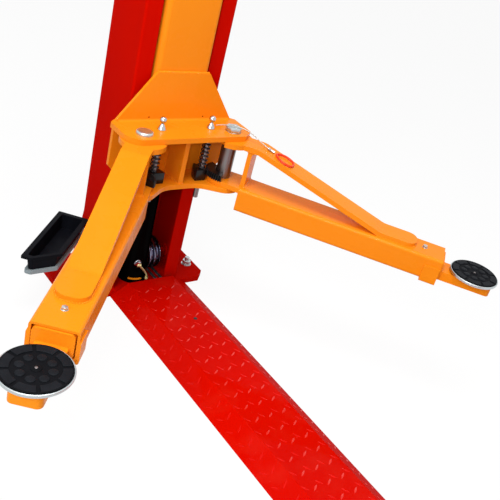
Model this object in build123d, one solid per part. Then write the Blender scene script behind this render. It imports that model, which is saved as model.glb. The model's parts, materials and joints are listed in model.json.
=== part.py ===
"""Two post car lift with a floor cover, real size in millimetres.

The frame: origin on the floor midway between the posts, +X along the line of posts, +Z up.
Each post is drawn once, as the one at -X, in a frame of its own: x is measured from the front
face of its carriage towards the other post, y from the middle of the post. The other post is
its mirror image. Each arm is drawn along +X from its pivot axis, then turned into place.
The rest pose has the carriages at knee height and all arms pushed in.
"""
from build123d import *
import math
import os

# Posts
FACE_X = 1430.0            # carriage face to the middle of the lift
POST_HEIGHT = 2820.0
COLUMN_BACK = 185.0        # depth of the channel
COLUMN_WIDTH = 300.0
COLUMN_WALL = 6.0
COLUMN_SET_BACK = 15.0     # lips behind the carriage face
LIP_GAP = 194.0            # opening between the lips
SIDE_GROOVE = 6.0          # depth of the long groove in each side
GROOVE_BACK = 70.0         # lips to the rear end of the groove
GROOVE_BACK_SLOPE = 15.0
GROOVE_FRONT = 12.0
GROOVE_FRONT_SLOPE = 8.0
COLUMN_REAR_BEND = 12.0
COLUMN_FRONT_BEND = 8.0
CAP_THICK = 8.0
CAP_OVERHANG = 6.0
GUSSET_REACH = 48.0
GUSSET_HEIGHT = 250.0
GUSSET_THICK = 10.0
GUSSET_INSET = 18.0        # from the column's side

# Base plates and floor cover
BASE_THICK = 20.0
BASE_WIDTH = 536.0
BASE_DEPTH = 250.0
BASE_CHAMFER = 30.0
ANCHOR_HOLE = 20.0
ANCHOR_FRONT_INSET = 85.0
ANCHOR_BACK_INSET = 35.0
ANCHOR_SIDE_INSET = 33.0
ANCHOR_SPACING_X = BASE_DEPTH - ANCHOR_FRONT_INSET - ANCHOR_BACK_INSET
ANCHOR_SPACING_Y = BASE_WIDTH - 2 * ANCHOR_SIDE_INSET
COVER_WIDTH = 300.0
COVER_TOP_WIDTH = 174.0
COVER_HEIGHT = 44.0
COVER_SHEET = 3.0
COVER_SHIFT = 35.0         # the cover lies beside the middle of the posts

# Lifting cylinder in each post
CYLINDER_X = -70.0
BARREL_DIA = 84.0
BARREL_TOP = 985.0
STAGE_DIA = 67.4
STAGE_LENGTH = 950.0
STAGE_BOTTOM = 219.0
ROD_DIA = 44.0
ROD_LENGTH = 950.0
BORE_CLEARANCE = 0.3
FOOT_FLANGE_DIA = 100.0
FOOT_FLANGE_THICK = 14.0

# Equalizer cables and their foot sheaves
SHEAVE_X = -112.0
SHEAVE_Z = 82.0
SHEAVE_DIA = 116.0
SHEAVE_WIDTH = 44.0
SHEAVE_BORE = 20.6
SHEAVE_WEB = 12.0
SHEAVE_HUB_DIA = 36.0
CABLE_LINE_RADIUS = 51.0   # cable centre line around the sheave
CABLE_DIA = 9.0
CABLE_SPACING = 22.0
CABLE_Y = 75.0             # middle of the two cables
CABLE_CLEARANCE = 0.4
AXLE_DIA = 20.0
AXLE_FLANGE_DIA = 44.0
AXLE_FLANGE_THICK = 6.0

# Tool tray beside each post
TRAY_CORNER = (-208.0, -228.5)   # rear outer corner of its rim
TRAY_TURN = -44.0
TRAY_LENGTH = 309.0
TRAY_WIDTH = 100.0
TRAY_CUT = 69.0            # corner cut off where the front arm passes
TRAY_RIM_Z = 225.0
TRAY_DEPTH = 50.0
TRAY_FLANGE = 12.0
TRAY_LIP = 9.0
TRAY_WALL = 3.0
TRAY_DRAFT = 5.0
TRAY_CORNER_RADIUS = 6.0
BRACKET_THICK = 14.0
BRACKET_MARGIN = 8.0
BRACKET_CORNER = 10.0
BRACKET_START = 14.0       # from the back of the column to the bracket's web
BRACKET_LENGTH = 70.0
BRACKET_REACH = 45.0
BRACKET_FLANGE = 6.0
BRACKET_HEIGHT = 70.0

# Carriage
MAST_WIDTH = 180.0
MAST_DEPTH = 140.0
MAST_WALL = 8.0
MAST_CORNER = 14.0
MAST_BOTTOM = 500.0
MAST_TOP = 1366.0
MAST_CAP = 10.0
SHELF_TOP = 643.0
SHELF_THICK = 16.0
SHELF_REACH = 136.0
SHELF_HALF = 218.0
SHELF_CORNER = 50.0
SHELF_CUT_X = 33.0
SHELF_CUT_Y = 39.0
SHELF_BACK_CUT = 14.0
FLARE_HEIGHT = 147.0
FLARE_HALF = 202.0
FLARE_THICK = 10.0
BEND_RADIUS = 7.0
FLARE_HOLE_DIA = 6.0
FLARE_HOLE_Y = 95.0
FLARE_HOLE_UP = 10.0
EAR_THICK = 16.0
EAR_GAP = 0.5
LOWER_SHELF_THICK = 16.0
LOWER_SHELF_FRONT = 105.0
LOWER_LOBE_RADIUS = 62.0
LOWER_FLANK_ANGLE = 35.0   # from the straight front edge out to the lobe
LOWER_FLANK_BEND = 90.0
LOWER_BACK_HALF = 185.0
BACK_PLATE_THICK = 12.0
BACK_PLATE_HALF = 205.0
BACK_PLATE_CHAMFER = 30.0
STIFFENER_THICK = 16.0
STIFFENER_FRONT = 98.0
SLIDE_GAP = 0.3
SLIDE_BLOCK_HEIGHT = 120.0
SLIDE_BLOCK_INSET = 14.0   # from the mast's ends
SLIDE_FRONT_HALF = 122.0
SLIDE_WIDE_X = -100.0
SLIDE_REAR_X = -132.0
REAR_PAD_Y = 42.0
REAR_PAD_WIDTH = 30.0

# Pivots and arm locks
PIVOT_X = 96.0
PIVOT_Y = 155.0
PIN_DIA = 48.0
PIN_CLEARANCE = 0.3
PIN_HEAD_DIA = 50.0
PIN_HEAD_THICK = 10.0
PIN_HEX_ACROSS = 44.0
PIN_HEX_THICK = 15.0
PIN_BELOW = 16.0
PIN_COLLAR_DIA = 60.0
PIN_COLLAR_THICK = 6.0
LOCK_X = 72.0
LOCK_Y = 86.0
LOCK_ROD_DIA = 16.0
LOCK_HOLE_CLEARANCE = 0.5
LOCK_ROD_BELOW = 52.0
LOCK_BALL_DIA = 21.0
LOCK_BALL_UP = 30.0
LOCK_NECK_DIA = 9.0
LOCK_CONE_DIA = 24.0
LOCK_CONE_HEIGHT = 16.0
LOCK_BLOCK_HEIGHT = 36.0
LOCK_BLOCK_OUTER = 98.0    # radius from the pivot
LOCK_BLOCK_HALF_ANGLE = 16.0
GEAR_TIP_RADIUS = 57.0
GEAR_TOOTH = 6.0
GEAR_PITCH = 8.0           # degrees
GEAR_BORE_RADIUS = 27.0
GEAR_HEIGHT = 20.0
GEAR_START = -212.0        # degrees from the arm's own direction
GEAR_TEETH = 17
MESH_GAP = 2.5
SPRING_OUTER = 28.0
SPRING_INNER = 20.0

# Swing arms
REAR_ARM_ANGLE = 38.0
FRONT_ARM_ANGLE = -41.0
TUBE_WIDTH = 110.0
TUBE_HEIGHT = 78.0
TUBE_WALL = 6.0
TUBE_CORNER = 9.0
TUBE_START = 73.0
TUBE_PAST_FOOT = 95.0      # tube's end past the foot of the strut
TUBE_DROP = 153.0          # shelf top to tube top
END_PLATE = 8.0
EAR_RADIUS = 50.0
UPPER_EAR_RADIUS = 68.0    # on the arm's own side of the pivot
STRUT_WIDTH = 80.0
STRUT_THICK = 14.0
STRUT_FLAT = 105.0
STRUT_FOOT = 113.0         # length of its flat lap on the tube
STRUT_BEND = 60.0
STRUT_END_CORNER = 32.0
POST_BAR_START = 70.0
POST_BAR_THICK = 14.0
POST_BAR_WIDTH = 76.0
POST_BAR_BEND = 13.0       # filled corners at its two ends
COLLAR_LENGTH = 51.0
COLLAR_SIDE = 4.0
COLLAR_BOTTOM = 8.0
COLLAR_UP = 50.0
INNER_GAP = 2.5
INNER_REST_GAP = 0.4
INNER_TOP_GAP = 2.0
INNER_START = 215.0
INNER_WALL = 6.0
INNER_CORNER = 12.0
INNER_PROUD = 5.0          # past the tube's end when pushed in
TONGUE_WIDTH = 72.0
TONGUE_THICK = 30.0
TONGUE_LAP = 58.0          # inside the box
TONGUE_PAST_PAD = 62.0
TONGUE_CORNER = 14.0

# Lifting pads
PAD_RADIUS_OUT = 850.0     # pivot axis to pad centre
PAD_PAST_BOX = 102.0       # pad centre past the inner arm's box
PAD_DIA = 155.0
PAD_RIM_WALL = 4.5
PAD_RIM_HEIGHT = 15.0
PAD_FLOOR = 7.0
PAD_FOOT_DIA = 100.0
PAD_RUBBER_PROUD = 3.0
PAD_STEM_DIA = 36.0
PAD_STEM_BELOW = 10.0
PAD_GAP = 0.4

# Release cord on the rear arm of the post at -X
CORD_DIA = 3.0
CORD_TAIL = 120.0          # pivot axis to the ferrule
FERRULE_DIA = 9.0
FERRULE_LENGTH = 24.0
LOOP_LENGTH = 56.0
LOOP_WIDTH = 40.0
LOOP_BAND = 8.0

# Places along an arm that follow from the reach of its pad
INNER_END = PAD_RADIUS_OUT - PAD_PAST_BOX
TUBE_END = INNER_END - INNER_PROUD
TONGUE_START = INNER_END - TONGUE_LAP
TONGUE_END = PAD_RADIUS_OUT + TONGUE_PAST_PAD
STRUT_END = TUBE_END - TUBE_PAST_FOOT
STRUT_FOLD = STRUT_END - STRUT_FOOT

# Heights that follow from the sizes above
SHELF_BOTTOM = SHELF_TOP - SHELF_THICK
UPPER_EAR_TOP = SHELF_BOTTOM - EAR_GAP
UPPER_EAR_BOTTOM = UPPER_EAR_TOP - EAR_THICK
TUBE_TOP = SHELF_TOP - TUBE_DROP
TUBE_BOTTOM = TUBE_TOP - TUBE_HEIGHT
LOWER_EAR_BOTTOM = TUBE_TOP - EAR_THICK
LOWER_SHELF_TOP = LOWER_EAR_BOTTOM - EAR_GAP
LOWER_SHELF_BOTTOM = LOWER_SHELF_TOP - LOWER_SHELF_THICK
INNER_BOTTOM = TUBE_BOTTOM + TUBE_WALL + INNER_REST_GAP
INNER_TOP = TUBE_TOP - TUBE_WALL - INNER_TOP_GAP
TONGUE_TOP = INNER_BOTTOM + TONGUE_THICK
PAD_BOTTOM = TONGUE_TOP + PAD_GAP
LOCK_BLOCK_BOTTOM = LOWER_SHELF_TOP + EAR_GAP
LOCK_BLOCK_TOP = LOCK_BLOCK_BOTTOM + LOCK_BLOCK_HEIGHT
GEAR_TOP = TUBE_TOP + GEAR_HEIGHT

# Places inside a post that follow from the sizes above
LIP_X = -COLUMN_SET_BACK
BACK_X = LIP_X - COLUMN_BACK
HALF_COLUMN = COLUMN_WIDTH / 2
INSIDE_HALF = HALF_COLUMN - COLUMN_WALL


# Shared shapes

def block(x0, x1, y0, y1, z0, z1):
    """A box between two corners."""
    return Pos(x0, y0, z0) * Box(x1 - x0, y1 - y0, z1 - z0, align=(Align.MIN, Align.MIN, Align.MIN))


def disc(x, y, z0, z1, dia):
    """An upright cylinder."""
    return Pos(x, y, z0) * Cylinder(dia / 2, z1 - z0, align=(Align.CENTER, Align.CENTER, Align.MIN))


def prism(points, z0, z1):
    """A closed outline in plan, raised from z0 to z1."""
    face = make_face(Polyline(*points, close=True))
    return Pos(0, 0, z0) * extrude(face, z1 - z0, dir=(0, 0, 1))


def side_prism(points, y0, y1):
    """A closed outline in x and z, carried from y0 to y1."""
    face = make_face(Polyline(*[(x, y0, z) for x, z in points], close=True))
    return extrude(face, y1 - y0, dir=(0, 1, 0))


def front_prism(points, x0, x1):
    """A closed outline in y and z, carried from x0 to x1."""
    face = make_face(Polyline(*[(x0, y, z) for y, z in points], close=True))
    return extrude(face, x1 - x0, dir=(1, 0, 0))


def box_tube(x0, x1, half_y, z0, z1, wall, corner):
    """A rectangular tube along x with rounded corners."""
    def section(shrink):
        height = z1 - z0 - 2 * shrink
        return RectangleRounded(2 * (half_y - shrink), height, max(corner - shrink, 2))
    plane = Plane(origin=(x0, 0, (z0 + z1) / 2), x_dir=(0, 1, 0), z_dir=(1, 0, 0))
    return extrude(plane * (section(0) - section(wall)), x1 - x0)


def edges_at(shape, x=None, y=None, z=None, tolerance=0.5):
    """Edges whose middle lies at the given coordinates."""
    found = ShapeList()
    for edge in shape.edges():
        middle = edge.position_at(0.5)
        wanted = ((x, middle.X), (y, middle.Y), (z, middle.Z))
        if all(value is None or abs(value - actual) < tolerance for value, actual in wanted):
            found.append(edge)
    return found


# Fixed pieces of a post

def column():
    """C-channel with grooved sides, turned-in lips, a cap and two rear gussets."""
    back, front = LIP_X - GROOVE_BACK, LIP_X - GROOVE_FRONT
    floor = HALF_COLUMN - SIDE_GROOVE
    half = [(BACK_X, HALF_COLUMN), (back, HALF_COLUMN), (back + GROOVE_BACK_SLOPE, floor),
            (front - GROOVE_FRONT_SLOPE, floor), (front, HALF_COLUMN), (LIP_X, HALF_COLUMN)]
    outline = half + [(x, -y) for x, y in reversed(half)]
    outer = make_face(Polyline(*outline, close=True))
    outer = fillet(outer.vertices().sort_by(Axis.X)[:2], COLUMN_REAR_BEND)
    outer = fillet(outer.vertices().sort_by(Axis.X)[-2:], COLUMN_FRONT_BEND)
    channel = outer - offset(outer, -COLUMN_WALL)
    height = POST_HEIGHT - CAP_THICK - BASE_THICK
    body = Pos(0, 0, BASE_THICK) * extrude(channel, height)
    body -= block(LIP_X - 2 * COLUMN_WALL, 0, -LIP_GAP / 2, LIP_GAP / 2, 0, POST_HEIGHT)
    cap = Pos(0, 0, POST_HEIGHT - CAP_THICK) * extrude(offset(outer, CAP_OVERHANG), CAP_THICK)
    body += cap
    foot = BASE_THICK
    for side in (-1, 1):
        y = side * (HALF_COLUMN - GUSSET_INSET)
        gusset = [(BACK_X + 1, foot), (BACK_X - GUSSET_REACH, foot), (BACK_X - GUSSET_REACH, foot + 12),
                  (BACK_X - 6, foot + GUSSET_HEIGHT), (BACK_X + 1, foot + GUSSET_HEIGHT)]
        body += side_prism(gusset, y - GUSSET_THICK / 2, y + GUSSET_THICK / 2)
    return body + sheave_axle()


def sheave_axle():
    """Stub shaft on the side wall that carries the foot sheave."""
    wall_y = INSIDE_HALF + 1
    free_end = CABLE_Y - SHEAVE_WIDTH / 2 - 3
    at = Pos(SHEAVE_X, wall_y, SHEAVE_Z) * Rot(90, 0, 0)
    shaft = at * Cylinder(AXLE_DIA / 2, wall_y - free_end, align=(Align.CENTER, Align.CENTER, Align.MIN))
    flange = at * Cylinder(AXLE_FLANGE_DIA / 2, AXLE_FLANGE_THICK + 1,
                           align=(Align.CENTER, Align.CENTER, Align.MIN))
    return shaft + flange


def base_plate():
    """Floor plate with chamfered front corners and four anchor holes."""
    half = BASE_WIDTH / 2
    plate = block(-BASE_DEPTH, 0, -half, half, 0, BASE_THICK)
    corners = [e for e in plate.edges().filter_by(Axis.Z) if e.position_at(0.5).X > -1]
    plate = chamfer(corners, BASE_CHAMFER)
    for x in (-ANCHOR_FRONT_INSET, -ANCHOR_FRONT_INSET - ANCHOR_SPACING_X):
        for y in (-ANCHOR_SPACING_Y / 2, ANCHOR_SPACING_Y / 2):
            plate -= disc(x, y, -1, BASE_THICK + 1, ANCHOR_HOLE)
    return plate


def cylinder_barrel():
    """Outer tube of the lifting cylinder on its foot flange."""
    outer = disc(CYLINDER_X, 0, BASE_THICK, BARREL_TOP, BARREL_DIA)
    flange = disc(CYLINDER_X, 0, BASE_THICK, BASE_THICK + FOOT_FLANGE_THICK, FOOT_FLANGE_DIA)
    gland = disc(CYLINDER_X, 0, BARREL_TOP - 30, BARREL_TOP, BARREL_DIA + 8)
    bore = disc(CYLINDER_X, 0, BASE_THICK + FOOT_FLANGE_THICK, BARREL_TOP + 1,
                STAGE_DIA + 2 * BORE_CLEARANCE)
    return outer + flange + gland - bore


def cylinder_stage():
    """Middle tube of the two-stage cylinder."""
    top = STAGE_BOTTOM + STAGE_LENGTH
    tube = disc(CYLINDER_X, 0, STAGE_BOTTOM, top, STAGE_DIA)
    return tube - disc(CYLINDER_X, 0, STAGE_BOTTOM - 1, top + 1, ROD_DIA + 2 * BORE_CLEARANCE)


def piston_rod():
    """Rod that pushes the mast's top plate."""
    top = MAST_TOP - MAST_CAP
    return disc(CYLINDER_X, 0, top - ROD_LENGTH, top, ROD_DIA)


def foot_sheave():
    """Steel sheave with a groove for each equalizer cable."""
    groove_floor = CABLE_LINE_RADIUS - CABLE_DIA / 2 - CABLE_CLEARANCE
    groove_half = CABLE_DIA / 2 + CABLE_CLEARANCE
    rim = SHEAVE_DIA / 2
    half = SHEAVE_WIDTH / 2
    points = [(SHEAVE_BORE / 2, -half), (rim, -half)]
    for centre in (-CABLE_SPACING / 2, CABLE_SPACING / 2):
        points += [(rim, centre - groove_half - 2), (groove_floor, centre - groove_half),
                   (groove_floor, centre + groove_half), (rim, centre + groove_half + 2)]
    points += [(rim, half), (SHEAVE_BORE / 2, half)]
    profile = make_face(Polyline(*[(r, 0, w) for r, w in points], close=True))
    wheel = revolve(profile, Axis.Z)
    for face in (-half, half):
        dish = Pos(0, 0, face) * Cylinder(groove_floor - 8, 2 * (half - SHEAVE_WEB))
        wheel -= dish - Cylinder(SHEAVE_HUB_DIA / 2, 4 * half)
    return Pos(SHEAVE_X, CABLE_Y, SHEAVE_Z) * Rot(90, 0, 0) * wheel


def equalizer_cables():
    """Two taut cables, each from one post's cap down, under the cover and up the other post."""
    run_x = FACE_X - SHEAVE_X
    top = POST_HEIGHT - CAP_THICK
    r = CABLE_LINE_RADIUS
    cables = Part()
    for offset_y in (-CABLE_SPACING / 2, CABLE_SPACING / 2):
        y = CABLE_Y + offset_y
        path = Polyline((-run_x - r, y, top), (-run_x - r, y, SHEAVE_Z - r),
                        (run_x + r, y, SHEAVE_Z - r), (run_x + r, y, top))
        path = fillet(path.vertices().sort_by(Axis.Z)[:2], r)
        ring = Plane(origin=(-run_x - r, y, top), z_dir=(0, 0, -1)) * Circle(CABLE_DIA / 2)
        cables += sweep(ring, path)
    return cables


def floor_cover():
    """Folded tread plate from one post to the other."""
    def section(width, top_width, height):
        mid = COVER_SHIFT
        return [(mid - width / 2, 0), (mid - top_width / 2, height),
                (mid + top_width / 2, height), (mid + width / 2, 0)]
    end = FACE_X
    slope = (COVER_WIDTH - COVER_TOP_WIDTH) / 2 / COVER_HEIGHT
    edge = COVER_SHEET * math.hypot(1, slope)
    outer = front_prism(section(COVER_WIDTH, COVER_TOP_WIDTH, COVER_HEIGHT), -end, end)
    inner_top = COVER_HEIGHT - COVER_SHEET
    inner_width = COVER_WIDTH - 2 * edge
    inner = section(inner_width, inner_width - 2 * slope * inner_top, inner_top)
    return outer - front_prism(inner, -end - 1, end + 1)


def in_tray_frame(shape):
    """From the tray's own frame, with x along its length, to the post's frame."""
    return Pos(*TRAY_CORNER, 0) * Rot(0, 0, TRAY_TURN) * shape


def tray_outline(inset, radius):
    """The tray's plan in its own frame, drawn in by inset, with one corner cut off."""
    far_x, far_y = TRAY_LENGTH - inset, TRAY_WIDTH - inset
    outline = make_face(Polyline((inset, inset), (far_x, inset), (far_x, TRAY_WIDTH - TRAY_CUT),
                                 (TRAY_LENGTH - TRAY_CUT, far_y), (inset, far_y), close=True))
    return fillet(outline.vertices(), radius)


def tool_tray():
    """Open tray with drawn-in sides and a flange around its rim."""
    top, wall, radius = TRAY_RIM_Z, TRAY_WALL, TRAY_CORNER_RADIUS

    def tub(shrink, floor_z, rim_z):
        low = Pos(0, 0, floor_z) * tray_outline(TRAY_FLANGE + TRAY_DRAFT + shrink, radius)
        high = Pos(0, 0, rim_z) * tray_outline(TRAY_FLANGE + shrink, radius)
        return loft([low, high])
    rim = Pos(0, 0, top - wall) * extrude(tray_outline(0, radius / 2), wall)
    lip = extrude(tray_outline(0, radius / 2) - tray_outline(wall, radius / 4), TRAY_LIP)
    tray = rim + Pos(0, 0, top - TRAY_LIP) * lip + tub(0, top - TRAY_DEPTH, top)
    tray -= tub(wall, top - TRAY_DEPTH + wall, top + 1)
    return in_tray_frame(tray)


def tray_bracket():
    """Plate under the tray with a web back to a flange on the column's side."""
    top = TRAY_RIM_Z - TRAY_DEPTH
    seat = extrude(tray_outline(TRAY_FLANGE + TRAY_DRAFT - BRACKET_MARGIN, BRACKET_CORNER), BRACKET_THICK)
    plate = in_tray_frame(Pos(0, 0, top - BRACKET_THICK) * seat)
    x0, x1 = BACK_X + BRACKET_START, BACK_X + BRACKET_START + BRACKET_LENGTH
    wall = -HALF_COLUMN
    plate += block(x0, x1, wall - BRACKET_REACH, wall, top - BRACKET_THICK, top)
    plate += block(x0, x1, wall - BRACKET_FLANGE, wall, top - BRACKET_HEIGHT, top)
    return plate


# Pieces on the carriage

def carriage_mast():
    """Box that slides in the column, closed on top where the rod pushes."""
    section = Pos(-MAST_DEPTH / 2, 0) * RectangleRounded(MAST_DEPTH, MAST_WIDTH, MAST_CORNER)
    hollow = Pos(-MAST_DEPTH / 2, 0) * RectangleRounded(
        MAST_DEPTH - 2 * MAST_WALL, MAST_WIDTH - 2 * MAST_WALL, MAST_CORNER - MAST_WALL)
    height = MAST_TOP - MAST_BOTTOM
    body = Pos(0, 0, MAST_BOTTOM) * extrude(section, height)
    return body - Pos(0, 0, MAST_BOTTOM) * extrude(hollow, height - MAST_CAP)


def pin_bores(z0, z1):
    """The pivot and lock pin holes through a shelf."""
    bores = Part()
    for side in (-1, 1):
        bores += disc(PIVOT_X, side * PIVOT_Y, z0 - 1, z1 + 1, PIN_DIA + 2 * PIN_CLEARANCE)
        bores += disc(LOCK_X, side * LOCK_Y, z0 - 1, z1 + 1, LOCK_ROD_DIA + 2 * LOCK_HOLE_CLEARANCE)
    return bores


def upper_shelf():
    """Flared plate on the mast, bent forward into the shelf over the arms."""
    front, half, cut = SHELF_REACH, SHELF_HALF, SHELF_BACK_CUT
    outline = [(0, -half + cut), (cut, -half), (front, -half),
               (front, half - SHELF_CUT_Y), (front - SHELF_CUT_X, half), (cut, half), (0, half - cut)]
    shelf = prism(outline, SHELF_BOTTOM, SHELF_TOP)
    corner = [e for e in shelf.edges().filter_by(Axis.Z)
              if e.position_at(0.5).X > front - 1 and e.position_at(0.5).Y < 0]
    shelf = fillet(corner, SHELF_CORNER)
    top = SHELF_TOP + FLARE_HEIGHT
    flare = front_prism([(-FLARE_HALF, SHELF_TOP - 1), (FLARE_HALF, SHELF_TOP - 1),
                         (MAST_WIDTH / 2, top), (-MAST_WIDTH / 2, top)], 0, FLARE_THICK)
    for side in (-1, 1):
        hole = Pos(0, side * FLARE_HOLE_Y, SHELF_TOP + FLARE_HOLE_UP) * Rot(0, 90, 0)
        flare -= hole * Cylinder(FLARE_HOLE_DIA / 2, 4 * FLARE_THICK)
    return shelf + flare + bend_fill() - pin_bores(SHELF_BOTTOM, SHELF_TOP)


def bend_fill():
    """Inside radius of the bend between flared plate and shelf."""
    far_x, far_z = FLARE_THICK + BEND_RADIUS, SHELF_TOP + BEND_RADIUS
    half = FLARE_HALF - BEND_RADIUS
    corner = block(FLARE_THICK - 1, far_x, -half, half, SHELF_TOP - 1, far_z)
    hollow = Pos(far_x, 0, far_z) * Rot(90, 0, 0) * Cylinder(BEND_RADIUS, 4 * half)
    return corner - hollow


def lower_bracket():
    """Lower shelf with lobes round the pivots, back plate and a middle stiffener."""
    z0, z1 = LOWER_SHELF_BOTTOM, LOWER_SHELF_TOP
    side_half = PIVOT_Y + LOWER_LOBE_RADIUS
    flank = math.radians(LOWER_FLANK_ANGLE)
    lobe_x = PIVOT_X + LOWER_LOBE_RADIUS * math.cos(flank)
    lobe_y = PIVOT_Y - LOWER_LOBE_RADIUS * math.sin(flank)
    front_y = lobe_y - (lobe_x - LOWER_SHELF_FRONT) / math.tan(flank)
    half = [(0, LOWER_BACK_HALF), (PIVOT_X, side_half), (PIVOT_X, PIVOT_Y), (lobe_x, lobe_y),
            (LOWER_SHELF_FRONT, front_y)]
    shelf = prism(half + [(x, -y) for x, y in reversed(half)], z0, z1)
    shelf = fillet(edges_at(shelf, x=LOWER_SHELF_FRONT, z=(z0 + z1) / 2)
                   .filter_by(Axis.Z), LOWER_FLANK_BEND)
    for side in (-1, 1):
        shelf += disc(PIVOT_X, side * PIVOT_Y, z0, z1, 2 * LOWER_LOBE_RADIUS)
    shelf -= pin_bores(z0, z1)
    half, cut = BACK_PLATE_HALF, BACK_PLATE_CHAMFER
    back = front_prism([(-half, SHELF_BOTTOM), (-half, z1 + cut), (-half + cut, z1 - 2), (half - cut, z1 - 2),
                        (half, z1 + cut), (half, SHELF_BOTTOM)], 0, BACK_PLATE_THICK)
    stiffener = block(BACK_PLATE_THICK - 1, STIFFENER_FRONT, -STIFFENER_THICK / 2, STIFFENER_THICK / 2,
                      z1 - 2, SHELF_BOTTOM)
    return shelf + back + stiffener


def slide_blocks():
    """Low-friction blocks between mast and column, two levels of four."""
    front_x = LIP_X - COLUMN_WALL - SLIDE_GAP
    wall_y = INSIDE_HALF - SLIDE_GAP
    rear_x = BACK_X + COLUMN_WALL + SLIDE_GAP
    mast_y = MAST_WIDTH / 2
    blocks = Part()
    for z in (MAST_BOTTOM + SLIDE_BLOCK_INSET, MAST_TOP - SLIDE_BLOCK_INSET - SLIDE_BLOCK_HEIGHT):
        for side in (-1, 1):
            outline = [(front_x, side * mast_y), (front_x, side * SLIDE_FRONT_HALF),
                       (SLIDE_WIDE_X, side * wall_y), (SLIDE_REAR_X, side * wall_y),
                       (SLIDE_REAR_X, side * mast_y)]
            blocks += prism(outline, z, z + SLIDE_BLOCK_HEIGHT)
            y = side * REAR_PAD_Y
            blocks += block(rear_x, -MAST_DEPTH, y - REAR_PAD_WIDTH / 2, y + REAR_PAD_WIDTH / 2,
                            z, z + SLIDE_BLOCK_HEIGHT)
    return blocks


def pivot_pins():
    """Round-headed and hexagon-headed arm pivots with a collar below."""
    bottom = LOWER_SHELF_BOTTOM
    pins = Part()
    for side in (-1, 1):
        y = side * PIVOT_Y
        pin = disc(PIVOT_X, y, bottom - PIN_BELOW, SHELF_TOP + 1, PIN_DIA)
        pin += disc(PIVOT_X, y, bottom - PIN_COLLAR_THICK, bottom, PIN_COLLAR_DIA)
        if side < 0:
            head = disc(PIVOT_X, y, SHELF_TOP, SHELF_TOP + PIN_HEAD_THICK, PIN_HEAD_DIA)
            head = fillet(head.edges().sort_by(Axis.Z)[-1:], PIN_HEAD_THICK * 0.6)
        else:
            hexagon = Pos(PIVOT_X, y, SHELF_TOP) * RegularPolygon(PIN_HEX_ACROSS / 2, 6, major_radius=False)
            head = extrude(hexagon, PIN_HEX_THICK)
        pins += pin + head
    return pins


# Arm lock: toothed sector on the arm and toothed block on the lock pin

def toothed_arc(tip_radius, tooth, teeth, start, pitch):
    """Points of a row of teeth on an arc; tooth is negative for teeth that point inward."""
    points = []
    for i in range(teeth):
        for share, radius in ((0.12, tip_radius - tooth), (0.38, tip_radius),
                              (0.62, tip_radius), (0.88, tip_radius - tooth)):
            angle = math.radians(start + (i + share) * pitch)
            points.append((radius * math.cos(angle), radius * math.sin(angle)))
    return points


def plain_arc(radius, start, end, steps):
    """Evenly spaced points on an arc, from start to end in degrees."""
    turns = [math.radians(start + (end - start) * i / steps) for i in range(steps + 1)]
    return [(radius * math.cos(t), radius * math.sin(t)) for t in turns]


def arm_gear(side):
    """Toothed sector on the arm's lower ear, round the heel of the pivot."""
    end = GEAR_START + GEAR_TEETH * GEAR_PITCH
    teeth = toothed_arc(GEAR_TIP_RADIUS, GEAR_TOOTH, GEAR_TEETH, GEAR_START, GEAR_PITCH)
    bore = plain_arc(GEAR_BORE_RADIUS, end, GEAR_START, 10)
    outline = [(x, side * y) for x, y in teeth + bore]
    return prism(outline, TUBE_TOP, GEAR_TOP)


def lock_pin(side):
    """Ball-ended pin with the toothed block that holds the arm's sector."""
    away = math.degrees(math.atan2(LOCK_Y - PIVOT_Y, LOCK_X - PIVOT_X))
    half = LOCK_BLOCK_HALF_ANGLE
    count = int(2 * half / GEAR_PITCH)
    tip = GEAR_TIP_RADIUS + MESH_GAP
    teeth = toothed_arc(tip, -GEAR_TOOTH, count, away - half, GEAR_PITCH)
    back = plain_arc(LOCK_BLOCK_OUTER, away + half, away - half, 6)
    outline = [(PIVOT_X + x, side * (PIVOT_Y + y)) for x, y in teeth + back]
    y = side * LOCK_Y
    pin = prism(outline, LOCK_BLOCK_BOTTOM, LOCK_BLOCK_TOP)
    ball_z = SHELF_TOP + LOCK_BALL_UP
    pin += disc(LOCK_X, y, LOWER_SHELF_BOTTOM - LOCK_ROD_BELOW, SHELF_TOP + 6, LOCK_ROD_DIA)
    pin += Pos(LOCK_X, y, SHELF_TOP + 2) * Cone(LOCK_CONE_DIA / 2, LOCK_NECK_DIA / 2, LOCK_CONE_HEIGHT,
                                                align=(Align.CENTER, Align.CENTER, Align.MIN))
    pin += disc(LOCK_X, y, SHELF_TOP + 6, ball_z, LOCK_NECK_DIA)
    pin += Pos(LOCK_X, y, ball_z) * Sphere(LOCK_BALL_DIA / 2)
    return pin


def lock_spring(side):
    """Outer form of the spring between the toothed block and the upper shelf."""
    z0, z1 = LOCK_BLOCK_TOP + EAR_GAP, SHELF_BOTTOM - EAR_GAP
    y = side * LOCK_Y
    return disc(LOCK_X, y, z0, z1, SPRING_OUTER) - disc(LOCK_X, y, z0 - 1, z1 + 1, SPRING_INNER)


# Pieces of an arm, drawn along +X from the pivot axis

def arm_frame():
    """Outer tube with its two ears, the sloping strut plate, the short post and the end collar."""
    half = TUBE_WIDTH / 2
    tube = box_tube(TUBE_START, TUBE_END, half, TUBE_BOTTOM, TUBE_TOP, TUBE_WALL, TUBE_CORNER)
    end_plate = block(TUBE_START, TUBE_START + END_PLATE, -half + 3, half - 3, TUBE_BOTTOM + 3, TUBE_TOP - 3)
    lower_ear = disc(0, 0, LOWER_EAR_BOTTOM, TUBE_TOP, 2 * EAR_RADIUS)
    lower_ear += prism([(0, -EAR_RADIUS), (TUBE_START + 4, -half + 2), (TUBE_START + 4, half - 2),
                        (0, EAR_RADIUS)], LOWER_EAR_BOTTOM, TUBE_TOP)
    frame = tube + end_plate + lower_ear + strut() + post_bar() + collar()
    return frame - disc(0, 0, TUBE_BOTTOM, SHELF_TOP, PIN_DIA + 2 * PIN_CLEARANCE)


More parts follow.
